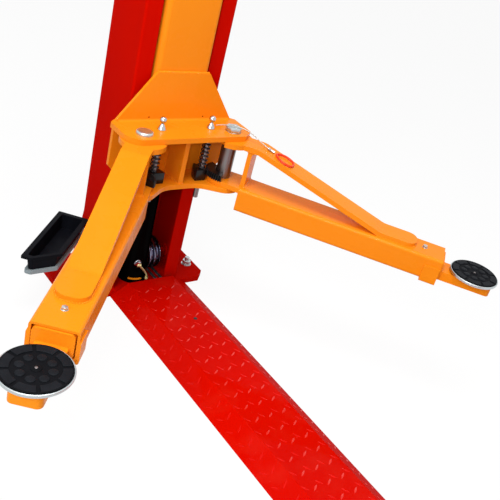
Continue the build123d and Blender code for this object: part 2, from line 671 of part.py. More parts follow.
def post_bar():
    """Upright bar between the ears, with filled corners on its side away from the pivot."""
    half = POST_BAR_WIDTH / 2
    near, far = POST_BAR_START, POST_BAR_START + POST_BAR_THICK
    low, high, bend = TUBE_TOP, UPPER_EAR_BOTTOM, POST_BAR_BEND
    bar = block(near, far, -half, half, low - 2, high + 1)
    for z, up in ((low, 1), (high, -1)):
        corner = side_prism([(far - 1, z - up), (far + bend, z - up), (far + bend, z + up * bend),
                             (far - 1, z + up * bend)], -half, half)
        hollow = Pos(far + bend, 0, z + up * bend) * Rot(90, 0, 0) * Cylinder(bend, 4 * half)
        bar += corner - hollow
    return bar


def strut():
    """Plate from the upper ear down to a rounded lap on the tube."""
    top, low = UPPER_EAR_TOP, UPPER_EAR_BOTTOM
    lap = TUBE_TOP + STRUT_THICK
    side = [(0, low), (STRUT_FLAT - 2, low), (STRUT_FOLD - 4, TUBE_TOP - 0.5), (STRUT_END, TUBE_TOP - 0.5),
            (STRUT_END, lap), (STRUT_FOLD, lap), (STRUT_FLAT, top), (0, top)]
    half = STRUT_WIDTH / 2
    plate = side_prism(side, -half, half)
    folds = edges_at(plate, x=STRUT_FLAT, z=top) + edges_at(plate, x=STRUT_FOLD, z=lap)
    plate = fillet(folds, STRUT_BEND)
    end_corners = [e for e in plate.edges().filter_by(Axis.Z) if e.position_at(0.5).X > STRUT_END - 1]
    plate = fillet(end_corners, STRUT_END_CORNER)
    r = UPPER_EAR_RADIUS
    ear = disc(0, 0, low, top, 2 * r) - block(-r - 1, 0, -r - 1, r + 1, low - 1, top + 1)
    return plate + ear + disc(0, 0, low, top, 2 * EAR_RADIUS)


def collar():
    """Strap under and beside the tube's open end."""
    half = TUBE_WIDTH / 2
    start, end = TUBE_END - COLLAR_LENGTH, TUBE_END
    strap = block(start, end, -half - COLLAR_SIDE, half + COLLAR_SIDE,
                  TUBE_BOTTOM - COLLAR_BOTTOM, TUBE_BOTTOM + COLLAR_UP)
    strap = fillet(edges_at(strap, z=TUBE_BOTTOM - COLLAR_BOTTOM, x=(start + end) / 2), 6)
    return strap - block(start - 1, end + 1, -half + 1, half - 1, TUBE_BOTTOM + 1, TUBE_TOP)


def inner_arm():
    """Sliding box with the flat tongue that carries the pad."""
    half = TUBE_WIDTH / 2 - TUBE_WALL - INNER_GAP
    box = box_tube(INNER_START, INNER_END, half, INNER_BOTTOM, INNER_TOP, INNER_WALL, INNER_CORNER)
    box += block(INNER_END - 8, INNER_END, -half + 4, half - 4, INNER_BOTTOM + 4, INNER_TOP - 4)
    half_tongue = TONGUE_WIDTH / 2
    tongue = block(TONGUE_START, TONGUE_END, -half_tongue, half_tongue, INNER_BOTTOM, TONGUE_TOP)
    corners = [e for e in tongue.edges().filter_by(Axis.Z) if e.position_at(0.5).X > TONGUE_END - 1]
    tongue = fillet(corners, TONGUE_CORNER)
    arm = box + tongue
    bore = PAD_STEM_DIA + 2 * PIN_CLEARANCE
    return arm - disc(PAD_RADIUS_OUT, 0, INNER_BOTTOM - 1, TONGUE_TOP + 1, bore)


def turned(points):
    """A solid of revolution about +Z from radius and height pairs."""
    return revolve(make_face(Polyline(*[(r, 0, z) for r, z in points], close=True)), Axis.Z)


def pad_cup():
    """Zinc cup and screw stem of a lifting pad."""
    z, rim = PAD_BOTTOM, PAD_DIA / 2
    top = z + PAD_RIM_HEIGHT
    stem = PAD_STEM_DIA / 2
    profile = [(0, INNER_BOTTOM - PAD_STEM_BELOW), (stem, INNER_BOTTOM - PAD_STEM_BELOW), (stem, z),
               (PAD_FOOT_DIA / 2, z), (rim - 3, z + PAD_RIM_HEIGHT * 0.45), (rim, z + PAD_RIM_HEIGHT * 0.6),
               (rim, top), (rim - PAD_RIM_WALL, top), (rim - PAD_RIM_WALL, z + PAD_FLOOR), (0, z + PAD_FLOOR)]
    return Pos(PAD_RADIUS_OUT, 0, 0) * turned(profile)


def pad_rubber():
    """Rubber disc in the cup, a little proud of its rim."""
    z, top = PAD_BOTTOM + PAD_FLOOR, PAD_BOTTOM + PAD_RIM_HEIGHT + PAD_RUBBER_PROUD
    r = PAD_DIA / 2 - PAD_RIM_WALL
    profile = [(0, z), (r, z), (r, top - PAD_RUBBER_PROUD - 1), (r - 6, top), (0, top)]
    return Pos(PAD_RADIUS_OUT, 0, 0) * turned(profile)


# Release cord: from the lock pin's ball over the pivot head, then along the strut

def on_arm(r, across, z):
    """A point of the rear arm in the post's frame at rest."""
    turn = math.radians(REAR_ARM_ANGLE)
    return (PIVOT_X + r * math.cos(turn) - across * math.sin(turn),
            PIVOT_Y + r * math.sin(turn) + across * math.cos(turn), z)


def strut_top(r):
    """Height of the strut's upper face at distance r from the pivot."""
    if r <= STRUT_FLAT:
        return UPPER_EAR_TOP
    drop = UPPER_EAR_TOP - TUBE_TOP - STRUT_THICK
    return UPPER_EAR_TOP - drop * (r - STRUT_FLAT) / (STRUT_FOLD - STRUT_FLAT)


def strut_slope(r):
    """How steeply the strut falls at distance r, in degrees."""
    return math.degrees(math.atan2(strut_top(r) - strut_top(r + 1), 1))


def bend_radii(points):
    """As large a bend at each inner point as its two runs allow."""
    radii = []
    for a, b, c in zip(points, points[1:], points[2:]):
        first, second = Vector(*b) - Vector(*a), Vector(*c) - Vector(*b)
        turn = math.radians(first.get_angle(second))
        radii.append(0.45 * min(first.length, second.length) / math.tan(turn / 2))
    return radii


def cord_tube(points):
    """Round cord through the points, as straight runs joined by tangent arcs."""
    radii = bend_radii(points)
    print("cord radii", [round(r) for r in radii])
    path = FilletPolyline(*points, radius=radii)
    start = Vector(*points[0])
    ring = Plane(origin=start, z_dir=Vector(*points[1]) - start) * Circle(CORD_DIA / 2)
    return sweep(ring, path)


HEAD_CLEAR = SHELF_TOP + PIN_HEX_THICK + CORD_DIA / 2 + 0.5
CORD_AXIS_POINT = on_arm(0, 0, HEAD_CLEAR + 1.5)
CORD_BY_KNOB = (LOCK_X + 9, LOCK_Y + 11.5, SHELF_TOP + 14)


def release_cord_knob():
    """The part of the cord that stays with the carriage."""
    return cord_tube([CORD_BY_KNOB, (LOCK_X + 14, LOCK_Y + 38, HEAD_CLEAR + 1), CORD_AXIS_POINT])


def release_cord_arm():
    """The part of the cord that swings with the arm, with its ferrule."""
    tail = CORD_TAIL
    points = [on_arm(1.2, 0, HEAD_CLEAR + 1.4), on_arm(38, 6, HEAD_CLEAR + 0.6), on_arm(76, 9, SHELF_TOP + 1),
              on_arm(98, 5, UPPER_EAR_TOP + 8), on_arm(tail, 0, strut_top(tail) + FERRULE_DIA / 2 + 0.8)]
    slope = strut_slope(tail)
    place = Pos(*points[-1]) * Rot(0, 0, REAR_ARM_ANGLE) * Rot(0, 90 + slope, 0)
    ferrule = place * Cylinder(FERRULE_DIA / 2, FERRULE_LENGTH, align=(Align.CENTER, Align.CENTER, Align.MIN))
    return cord_tube(points) + ferrule


def release_loop():
    """Flat teardrop handle loop on the strut, past the ferrule."""
    start = CORD_TAIL + FERRULE_LENGTH
    slope = strut_slope(start)
    ring = Ellipse(LOOP_LENGTH / 2, LOOP_WIDTH / 2) - Ellipse(LOOP_LENGTH / 2 - LOOP_BAND,
                                                             LOOP_WIDTH / 2 - LOOP_BAND)
    handle = extrude(Pos(LOOP_LENGTH / 2 + 0.3, 0) * ring, LOOP_BAND)
    at = on_arm(start, 0, strut_top(start) + 0.8)
    return Pos(*at) * Rot(0, 0, REAR_ARM_ANGLE) * Rot(0, slope, 0) * handle


# Placing and writing the pieces

def at_post(shape, side):
    """Move a piece from the post's own frame to the left or right post."""
    placed = Pos(-FACE_X, 0, 0) * shape
    return placed if side == "left" else mirror(placed, Plane.YZ)


def on_pivot(shape, arm):
    """Turn an arm piece to its angle and move it to its pivot."""
    sign, angle = ARMS[arm]
    return Pos(PIVOT_X, sign * PIVOT_Y, 0) * Rot(0, 0, angle) * shape


ARMS = {"rear": (1, REAR_ARM_ANGLE), "front": (-1, FRONT_ARM_ANGLE)}

POST_PIECES = {
    "column": column, "base_plate": base_plate, "cylinder_barrel": cylinder_barrel,
    "cylinder_stage": cylinder_stage, "foot_sheave": foot_sheave, "tool_tray": tool_tray,
    "tray_bracket": tray_bracket, "carriage_mast": carriage_mast, "piston_rod": piston_rod,
    "upper_shelf": upper_shelf, "lower_bracket": lower_bracket, "slide_blocks": slide_blocks,
    "pivot_pins": pivot_pins,
}
ARM_PIECES = {"arm_frame": arm_frame, "inner_arm": inner_arm, "pad_cup": pad_cup, "pad_rubber": pad_rubber}
LOCK_PIECES = {"lock_pin": lock_pin, "lock_spring": lock_spring}


def main():
    os.makedirs("parts", exist_ok=True)
    nodes = {"floor_cover": floor_cover(), "equalizer_cables": equalizer_cables()}
    for name, make in POST_PIECES.items():
        piece = make()
        for side in ("left", "right"):
            nodes[f"{side}_{name}"] = at_post(piece, side)
    for arm, (sign, _) in ARMS.items():
        pieces = {name: on_pivot(make(), arm) for name, make in ARM_PIECES.items()}
        pieces["arm_gear"] = on_pivot(arm_gear(sign), arm)
        pieces.update({name: make(sign) for name, make in LOCK_PIECES.items()})
        for name, piece in pieces.items():
            for side in ("left", "right"):
                nodes[f"{side}_{arm}_{name}"] = at_post(piece, side)
    for make in (release_cord_knob, release_cord_arm, release_loop):
        nodes[make.__name__] = at_post(make(), "left")
    for name, shape in nodes.items():
        export_step(shape, f"parts/{name}.step")


if __name__ == "__main__":
    main()
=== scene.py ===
"""Looks of a two post car lift: enamelled, zinced and ground steel, rubber and black plastic.

All lengths are metres, in the part's own frame: the floor is z = 0, +X runs along the line of
posts and +Y towards the rear arms. The left post, at -X, is the one seen from the camera. A post's
own frame has x from its carriage face, and an arm's own frame has +X along the arm from its pivot.
"""
import json
import math

import bmesh
import bpy
from mathutils import Euler, Matrix, Vector

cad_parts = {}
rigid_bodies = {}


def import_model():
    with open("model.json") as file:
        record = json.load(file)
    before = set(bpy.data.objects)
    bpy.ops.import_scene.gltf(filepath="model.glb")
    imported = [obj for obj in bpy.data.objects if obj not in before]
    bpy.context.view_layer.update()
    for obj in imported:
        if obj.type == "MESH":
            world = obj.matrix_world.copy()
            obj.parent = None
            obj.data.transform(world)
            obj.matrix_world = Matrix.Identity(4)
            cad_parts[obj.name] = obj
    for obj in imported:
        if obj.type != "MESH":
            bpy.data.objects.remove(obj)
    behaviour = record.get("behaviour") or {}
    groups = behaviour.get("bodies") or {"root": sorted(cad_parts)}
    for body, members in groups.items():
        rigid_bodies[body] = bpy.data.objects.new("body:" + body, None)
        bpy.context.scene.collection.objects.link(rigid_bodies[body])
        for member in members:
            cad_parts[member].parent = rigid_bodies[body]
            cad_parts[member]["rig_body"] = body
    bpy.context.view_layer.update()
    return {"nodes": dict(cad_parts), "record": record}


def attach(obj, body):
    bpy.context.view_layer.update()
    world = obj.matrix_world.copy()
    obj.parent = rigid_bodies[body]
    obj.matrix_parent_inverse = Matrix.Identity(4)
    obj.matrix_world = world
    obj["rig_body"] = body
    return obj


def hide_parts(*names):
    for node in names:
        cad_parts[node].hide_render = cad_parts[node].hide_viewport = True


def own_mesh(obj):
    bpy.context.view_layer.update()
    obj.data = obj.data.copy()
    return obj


SIDES = ("left", "right")
ARMS = ("rear", "front")

# Camera, at the height of a standing person's eyes
CAMERA_PLACE = (0.3558, -1.2346, 1.4800)
CAMERA_TURN = (58.722, -14.988, 52.252)      # degrees
CAMERA_LENS = 53.65
SENSOR = 36.0
CAMERA_SHIFT = (-0.0663, 0.0412)

# Posts and cover
FACE_X = 1.430
COVER_WIDTH = 0.300
COVER_TOP_WIDTH = 0.174
COVER_HEIGHT = 0.044
COVER_SHIFT = 0.035
BASE_TOP = 0.020
ANCHOR_X = (-0.085, -0.215)
ANCHOR_Y = 0.235

# Carriage
SHELF_TOP = 0.643
SHELF_BOTTOM = 0.627
LOWER_SHELF_BOTTOM = 0.4575
LOWER_SHELF_TOP = 0.4735
FLARE_TOP = 0.790
FLARE_TOP_HALF = 0.090
FLARE_THICK = 0.010
STIFFENER = (0.012, 0.098, 0.008)            # back, front and half its thickness
PIVOT = (0.096, 0.155)
LOCK = (0.072, 0.086)
SPRING_TOP = 0.6265
SPRING_FOOT = 0.5105
SPRING_RADIUS = 0.012
SPRING_WIRE = 0.004
SPRING_TURNS = 8.5

# Arms
ARM_ANGLE = {"rear": 38.0, "front": -41.0}   # degrees from +X
ARM_SIGN = {"rear": 1, "front": -1}
TUBE_TOP = 0.490
STOP_BOLT_AT = 0.678
PAD_AT = 0.850
PAD_SEAT = 0.4558
PAD_RUBBER_TOP = 0.4668
PAD_RUBBER_RADIUS = 0.073

# What counts as one place and one plane when a CAD node's facets are joined
SAME_PLACE = 2e-6
SAME_PLANE = 0.3                             # degrees


# Scene building helpers

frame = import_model()


def new_object(name, data):
    """An object in the scene that holds a mesh, curve, lamp or camera."""
    made = bpy.data.objects.new(name, data)
    bpy.context.scene.collection.objects.link(made)
    return made


def evaluated(holder):
    """The holder's mesh with its modifiers applied; the holder is removed."""
    bpy.context.view_layer.update()
    depsgraph = bpy.context.evaluated_depsgraph_get()
    mesh = bpy.data.meshes.new_from_object(holder.evaluated_get(depsgraph), depsgraph=depsgraph)
    bpy.data.objects.remove(holder)
    return mesh


def modified(mesh, *steps):
    """A mesh after modifiers, each given as its kind and its settings."""
    holder = new_object("holder", mesh)
    for kind, settings in steps:
        modifier = holder.modifiers.new(kind, kind)
        for name, value in settings.items():
            setattr(modifier, name, value)
    return evaluated(holder)


def rounded_edges(width, segments=2, angle=32):
    """Bevel step for edges sharper than an angle in degrees."""
    return ("BEVEL", {"width": width, "segments": segments, "limit_method": "ANGLE",
                      "angle_limit": math.radians(angle), "use_clamp_overlap": True,
                      "miter_outer": "MITER_ARC", "harden_normals": False})


def smooth(mesh, angle=35):
    """Smooth shading, with edges over an angle in degrees kept sharp."""
    mesh.shade_smooth()
    mesh.set_sharp_from_angle(angle=math.radians(angle))
    return mesh


def mesh_of(work, name="shape"):
    """The mesh of a bmesh, which is freed."""
    mesh = bpy.data.meshes.new(name)
    work.to_mesh(mesh)
    work.free()
    return mesh


def closed_mesh(work):
    """The mesh of a closed bmesh, with its faces pointing outwards."""
    bmesh.ops.recalc_face_normals(work, faces=work.faces)
    return mesh_of(work)


def lathe(profile, steps=48):
    """A closed shape turned about Z from (radius, height) pairs that start and end on the axis."""
    work = bmesh.new()
    rings = []
    for radius, height in profile:
        turns = [2 * math.pi * i / steps for i in range(steps if radius else 1)]
        rings.append([work.verts.new((radius * math.cos(t), radius * math.sin(t), height)) for t in turns])
    for low, high in zip(rings, rings[1:]):
        for i in range(steps):
            j = (i + 1) % steps
            corners = [low[i % len(low)], low[j % len(low)],
                       high[j % len(high)], high[i % len(high)]]
            corners = [v for n, v in enumerate(corners) if v not in corners[:n]]
            if len(corners) > 2:
                work.faces.new(corners)
    return smooth(closed_mesh(work))


def prism(outline, low, high):
    """A closed outline in plan, raised between two heights."""
    work = bmesh.new()
    floor = [work.verts.new((x, y, low)) for x, y in outline]
    roof = [work.verts.new((x, y, high)) for x, y in outline]
    work.faces.new(floor)
    work.faces.new(list(reversed(roof)))
    for i in range(len(outline)):
        j = (i + 1) % len(outline)
        work.faces.new([floor[i], roof[i], roof[j], floor[j]])
    return closed_mesh(work)


def regular(sides, radius):
    """Corners of a regular outline."""
    turns = [math.radians(360 * i / sides) for i in range(sides)]
    return [(radius * math.cos(t), radius * math.sin(t)) for t in turns]


def joined(*meshes):
    """One mesh from several."""
    work = bmesh.new()
    for mesh in meshes:
        work.from_mesh(mesh)
    return mesh_of(work, "joined")


def moved(mesh, matrix):
    """A copy of a mesh, carried by a matrix, with its faces still outwards."""
    mesh = mesh.copy()
    mesh.transform(matrix)
    if matrix.determinant() < 0:
        mesh.flip_normals()
    return mesh


def place(x=0.0, y=0.0, z=0.0, turn=(0, 0, 0)):
    """A matrix from a place in metres and turns in degrees."""
    return Matrix.Translation((x, y, z)) @ Euler([math.radians(t) for t in turn]).to_matrix().to_4x4()


def post_frame(side):
    """From a post's own frame to the lift's frame."""
    left = place(-FACE_X)
    return left if side == "left" else Matrix.Scale(-1, 4, (1, 0, 0)) @ left


def arm_frame(side, arm):
    """From an arm's own frame to the lift's frame."""
    return post_frame(side) @ place(PIVOT[0], ARM_SIGN[arm] * PIVOT[1], 0, (0, 0, ARM_ANGLE[arm]))


def lock_frame(side, arm):
    """From a frame on a lock pin's axis to the lift's frame."""
    return post_frame(side) @ place(LOCK[0], ARM_SIGN[arm] * LOCK[1], 0)


def add_piece(name, mesh, finish, slot, body, stands_for=()):
    """A finished mesh as a piece of the lift that moves with a body."""
    mesh.materials.clear()
    mesh.materials.append(finish)
    mesh.name = name
    piece = new_object(name, mesh)
    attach(piece, body)
    if stands_for:
        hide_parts(*stands_for)
    return piece


def body_of(node):
    """The body that a CAD node moves with."""
    return frame["nodes"][node]["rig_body"]


def slot_of(node):
    """The record's material slot of a CAD node."""
    return next(part["material_slot"] for part in frame["record"]["subparts"] if part["node"] == node)


def soften(node, finish, width, segments=2):
    """Stand a copy with rounded edges in a CAD node's place."""
    work = bmesh.new()
    work.from_mesh(frame["nodes"][node].data)
    bmesh.ops.remove_doubles(work, verts=work.verts, dist=SAME_PLACE)
    bmesh.ops.dissolve_limit(work, angle_limit=math.radians(SAME_PLANE),
                             verts=work.verts, edges=work.edges)
    mesh = smooth(modified(mesh_of(work, node), rounded_edges(width, segments)), 40)
    mesh = modified(mesh, ("WEIGHTED_NORMAL", {"keep_sharp": True}))
    return add_piece(node + "_formed", mesh, finish, slot_of(node), body_of(node), [node])


# Node trees and shader maths

def feed(tree, socket, value):
    """Give a socket a field, another socket or a plain value."""
    if isinstance(value, Field):
        value = value.socket
    if isinstance(value, bpy.types.NodeSocket):
        tree.links.new(value, socket)
    else:
        socket.default_value = value


def add_node(tree, kind, settings=None, sockets=None, output=0):
    """One output of a new node: its settings come first, then its sockets by name or number."""
    made = tree.nodes.new(kind)
    for name, value in (settings or {}).items():
        setattr(made, name, value)
    for key, value in (sockets or {}).items():
        feed(tree, made.inputs[key], value)
    return made.outputs[output]


class Field:
    """A socket of a material's node tree that takes part in Python sums."""

    def __init__(self, finish, socket):
        self.finish, self.socket = finish, socket

    def maths(self, operation, *values):
        return self.finish.node("ShaderNodeMath", {"operation": operation}, dict(enumerate(values)))

    def __add__(self, other):
        return self.maths("ADD", self, other)

    def __mul__(self, other):
        return self.maths("MULTIPLY", self, other)

    __radd__, __rmul__ = __add__, __mul__

    def over(self, edge, soft):
        """0 below an edge and 1 above it, with a soft step."""
        return self.finish.node("ShaderNodeMapRange", {"clamp": True}, {
            "Value": self, "From Min": edge - soft, "From Max": edge + soft})

    def sine(self):
        return self.maths("SINE", self)


class Finish:
    """A material in the making. Lengths are metres, on Object coordinates."""

    def __init__(self, name):
        self.material = bpy.data.materials.new(name)
        self.material.use_nodes = True
        self.tree = self.material.node_tree
        self.shader = self.tree.nodes["Principled BSDF"]
        self.place = self.node("ShaderNodeTexCoord", output="Object")

    def node(self, kind, settings=None, sockets=None, output=0):
        """One output of a new node, as a field."""
        return Field(self, add_node(self.tree, kind, settings, sockets, output))

    def noise(self, scale, detail=2.0, stretch=(1, 1, 1), offset=(0, 0, 0), rough=0.5):
        """Cloudy values round 0.5; scale is per metre."""
        where = self.node("ShaderNodeMapping", {}, {
            "Vector": self.place, "Scale": stretch, "Location": offset})
        return self.node("ShaderNodeTexNoise", {}, {
            "Vector": where, "Scale": scale, "Detail": detail, "Roughness": rough})

    def axis(self, letter):
        """One Object coordinate."""
        return self.node("ShaderNodeSeparateXYZ", {}, {"Vector": self.place}, output=letter)

    def blend(self, share, first, second):
        """Colour from first to second as share goes from 0 to 1; each is a field or a display colour."""
        first, second = (c if isinstance(c, Field) else colour(*c) for c in (first, second))
        return self.node("ShaderNodeMix", {"data_type": "RGBA"}, {
            0: share, 6: first, 7: second}, output=2)

    def raised(self, height, depth, strength):
        """Surface relief from a height field, depth in metres."""
        return self.node("ShaderNodeBump", {}, {
            "Height": height, "Distance": depth, "Strength": strength})

    def done(self, **sockets):
        """Feed the shader; underscores in names stand for spaces."""
        for name, value in sockets.items():
            feed(self.tree, self.shader.inputs[name.replace("_", " ")], value)
        return self.material


def colour(red, green, blue):
    """A display colour, 0 to 255, as the shader's linear colour."""
    def linear(value):
        value /= 255
        return value / 12.92 if value <= 0.04045 else ((value + 0.055) / 1.055) ** 2.4
    return (linear(red), linear(green), linear(blue), 1.0)


# Finishes

def enamel(name, base, shade, bright, gloss=0.24, coat=0.05, shine=0.06):
    """Sprayed enamel: slow colour drift, faint orange peel and duller, dusty patches."""
    f = Finish(name)
    drift = f.noise(2.4, 3.0).over(0.5, 0.22)
    dust = f.noise(15.0, 4.0, offset=(3.1, 1.7, 0.4), rough=0.6).over(0.64, 0.14)
    peel = f.noise(260.0, 2.0)
    tone = f.blend(drift, shade, bright)
    tone = f.blend(0.5, tone, base)
    tone = f.blend(dust * 0.25, tone, bright)
    return f.done(Base_Color=tone, Roughness=gloss + dust * 0.14 + drift * 0.05,
                  Normal=f.raised(peel, 0.00020, 0.08), Coat_Weight=coat, Coat_Roughness=0.06,
                  Specular_IOR_Level=shine)


def tread_enamel(name, base, shade, bright):
    """Walked-on enamel: as sprayed, with short scuffs and a dusty bloom."""
    f = Finish(name)
    drift = f.noise(3.0, 3.0).over(0.5, 0.25)
    bloom = f.noise(9.0, 4.0, offset=(1.2, 4.0, 0), rough=0.6).over(0.62, 0.12)
    scuff = f.noise(90.0, 3.0, stretch=(1, 0.3, 1), offset=(2, 0, 0)).over(0.74, 0.04)
    peel = f.noise(260.0, 2.0)
    tone = f.blend(drift, shade, bright)
    tone = f.blend(0.5, tone, base)
    tone = f.blend(bloom * 0.05, tone, (236, 96, 70))
    tone = f.blend(scuff * 0.10, tone, (244, 130, 104))
    return f.done(Base_Color=tone, Roughness=0.24 + bloom * 0.12 + scuff * 0.12,
                  Normal=f.raised(peel, 0.00020, 0.10), Coat_Weight=0.06, Coat_Roughness=0.08,
                  Specular_IOR_Level=0.0)


def plated(name, base, rough, grain=0.0, stain=0.15):
    """Bare or plated steel with a soft cloudiness and fine tool marks."""
    f = Finish(name)
    cloud = f.noise(35.0, 4.0)
    fine = f.noise(700.0, 2.0, stretch=(1, 1, 0.15))
    tone = f.blend(cloud.over(0.55, 0.25) * stain, base, (120, 116, 108))
    return f.done(Base_Color=tone, Metallic=1.0, Roughness=rough + cloud * 0.10 + fine * grain,
                  Normal=f.raised(fine, 0.00008, 0.15))


def matt(name, base, light, rough, grain_scale, grain_depth, shine=0.2):
    """Moulded plastic or rubber with a fine grain and slight dust."""
    f = Finish(name)
    cloud = f.noise(28.0, 4.0, rough=0.6)
    grain = f.noise(grain_scale, 3.0)
    tone = f.blend(cloud.over(0.58, 0.2) * 0.5, base, light)
    return f.done(Base_Color=tone, Roughness=rough + cloud * 0.12,
                  Normal=f.raised(grain, grain_depth, 0.35), Specular_IOR_Level=shine)


def rope(name):
    """Stranded wire rope: strands wind round both its upright and its level runs."""
    f = Finish(name)
    x, y, z = (f.axis(letter) for letter in "XYZ")
    strands = ((x + z) * 620.0 + y * 900.0).sine()
    dark = f.noise(60.0, 3.0)
    tone = f.blend(dark * 0.5, (96, 96, 100), (40, 38, 38))
    return f.done(Base_Color=tone, Metallic=0.9, Roughness=0.42 + dark * 0.1,
                  Normal=f.raised(strands, 0.0012, 0.8))


RED = enamel("red enamel", (192, 8, 0), (182, 5, 0), (204, 11, 0),
             gloss=0.20, coat=0.025, shine=0.0)
RED_TREAD = tread_enamel("red tread enamel", (198, 8, 0), (188, 6, 0), (208, 12, 0))
# Treads painted lighter than the cover as painted glints: a strong painted glint on one set of the top, a
# faint one on the rest
PAINTED_GLINT_TREAD = enamel("tread with painted glint", (216, 32, 20), (206, 20, 12), (228, 50, 36),
                    coat=0.20, shine=0.4)
FAINT_GLINT_TREAD = enamel("tread with faint painted glint", (208, 14, 5), (196, 8, 2), (218, 22, 12),
                    coat=0.07, shine=0.06)
ORANGE = enamel("orange enamel", (241, 138, 20), (237, 130, 14), (246, 147, 28))
GREY = enamel("grey enamel", (132, 144, 148), (122, 134, 138), (146, 158, 162), gloss=0.4)
BLACK_ENAMEL = enamel("black enamel", (12, 12, 13), (8, 8, 9), (20, 20, 22),
                      gloss=0.30, coat=0.25, shine=0.2)
# Darker than the black enamel: the cylinder's own black paint, with painted shade for the shadow deep
# inside the column
PAINTED_SHADE_CYLINDER = enamel("cylinder black with painted shade", (5, 4, 4), (3, 2, 2), (8, 7, 7),
                        gloss=0.3, coat=0.015, shine=0.0)
ZINC = plated("bright zinc", (198, 206, 208), 0.26, 0.10)
CHROME = plated("chrome", (190, 193, 198), 0.10, 0.0, 0.05)
GROUND = plated("ground steel", (134, 128, 128), 0.24, 0.14)
SHEAVE_STEEL = plated("sheave steel", (142, 142, 166), 0.16, 0.08)
DARK_STEEL = plated("oiled steel", (72, 72, 78), 0.34, 0.10)
BRASS = plated("brass", (206, 190, 136), 0.26, 0.08)
BRIGHT_CORD = plated("bright cord", (184, 180, 174), 0.34, 0.20)
BLACK_PLASTIC = matt("black plastic", (10, 11, 16), (22, 24, 31), 0.42, 900.0, 0.0003, shine=0.04)
NYLON = matt("white nylon", (226, 223, 212), (206, 200, 186), 0.40, 500.0, 0.0002)
RUBBER = matt("black rubber", (13, 14, 17), (23, 25, 29), 0.5, 1100.0, 0.0004, shine=0.04)
# Lighter than the disc: rubbing wear on the lugs and ribs, and a painted highlight that sets off their
# relief
RUBBED_AND_HIGHLIT_RUBBER = matt("rubbed rubber with painted highlight", (20, 22, 26), (33, 36, 41), 0.45, 1100.0, 0.0004, shine=0.06)
HANDLE = matt("red plastic", (238, 62, 26), (246, 92, 48), 0.26, 300.0, 0.0001)
WIRE_ROPE = rope("wire rope")


# Shapes that repeat

class Recipe:
    """A Geometry Nodes tree in the making, with named inputs for its sizes."""

    def __init__(self, name, **inputs):
        self.tree = bpy.data.node_groups.new(name, "GeometryNodeTree")
        self.tree.interface.new_socket("Geometry", in_out="OUTPUT", socket_type="NodeSocketGeometry")
        self.tree.interface.new_socket("Geometry", in_out="INPUT", socket_type="NodeSocketGeometry")
        for label, kind in inputs.items():
            self.tree.interface.new_socket(label, in_out="INPUT", socket_type="NodeSocket" + kind)
        self.tree.interface.new_socket("Material", in_out="INPUT", socket_type="NodeSocketMaterial")
        self.given = self.tree.nodes.new("NodeGroupInput").outputs

    def node(self, kind, settings=None, sockets=None, output=0):
        """One output of a new node."""
        return add_node(self.tree, kind, settings, sockets, output)

    def maths(self, operation, first, second):
        return self.node("ShaderNodeMath", {"operation": operation}, {0: first, 1: second})

    def end(self, shape):
        """Finish the tree on its realised and dressed shape."""
        real = self.node("GeometryNodeRealizeInstances", {}, {"Geometry": shape})
        dressed = self.node("GeometryNodeSetMaterial", {}, {
            "Geometry": real, "Material": self.given["Material"]})
        self.tree.links.new(dressed, self.tree.nodes.new("NodeGroupOutput").inputs[0])
        return self

    def make(self, mesh, finish, **values):
        """The plain mesh that the tree makes of a mesh."""
        holder = new_object("holder", mesh)
        modifier = holder.modifiers.new("recipe", "NODES")
        modifier.node_group = self.tree
        for item in self.tree.interface.items_tree:
            if item.in_out == "INPUT" and item.name in values:
                modifier[item.identifier] = values[item.name]
            elif item.in_out == "INPUT" and item.name == "Material":
                modifier[item.identifier] = finish
        return evaluated(holder)


def tread_recipe():
    """Copies of a lozenge on a grid, all leaning one way."""
    r = Recipe("treads", Length="Float", Width="Float", Columns="Int", Rows="Int", Lean="Float")
    grid = r.node("GeometryNodeMeshGrid", {}, {
        "Size X": r.given["Length"], "Size Y": r.given["Width"],
        "Vertices X": r.given["Columns"], "Vertices Y": r.given["Rows"]})
    turn = r.node("ShaderNodeCombineXYZ", {}, {"Z": r.given["Lean"]})
    copies = r.node("GeometryNodeInstanceOnPoints", {}, {
        "Points": grid, "Instance": r.given["Geometry"], "Rotation": turn})
    return r.end(copies)


def ring_recipe():
    """Copies of a shape round a circle, each turned to face outwards."""
    r = Recipe("ring", Count="Int", Radius="Float")
    circle = r.node("GeometryNodeMeshCircle", {}, {
        "Vertices": r.given["Count"], "Radius": r.given["Radius"]})
    step = r.maths("DIVIDE", 2 * math.pi, r.given["Count"])
    angle = r.maths("MULTIPLY", r.node("GeometryNodeInputIndex"), step)
    turn = r.node("ShaderNodeCombineXYZ", {}, {"Z": angle})
    copies = r.node("GeometryNodeInstanceOnPoints", {}, {
        "Points": circle, "Instance": r.given["Geometry"], "Rotation": turn})
    return r.end(copies)


def coil_recipe():
    """A coil spring that stands on z = 0."""
    r = Recipe("coil", Turns="Float", Radius="Float", Height="Float", Wire="Float")
    line = r.node("GeometryNodeCurveSpiral", {}, {
        "Resolution": 20, "Rotations": r.given["Turns"], "Start Radius": r.given["Radius"],
        "End Radius": r.given["Radius"], "Height": r.given["Height"]})
    ring = r.node("GeometryNodeCurvePrimitiveCircle", {}, {"Resolution": 8, "Radius": r.given["Wire"]})
    wire = r.node("GeometryNodeCurveToMesh", {}, {
        "Curve": line, "Profile Curve": ring, "Fill Caps": True})
    return r.end(r.node("GeometryNodeSetShadeSmooth", {}, {"Geometry": wire}))


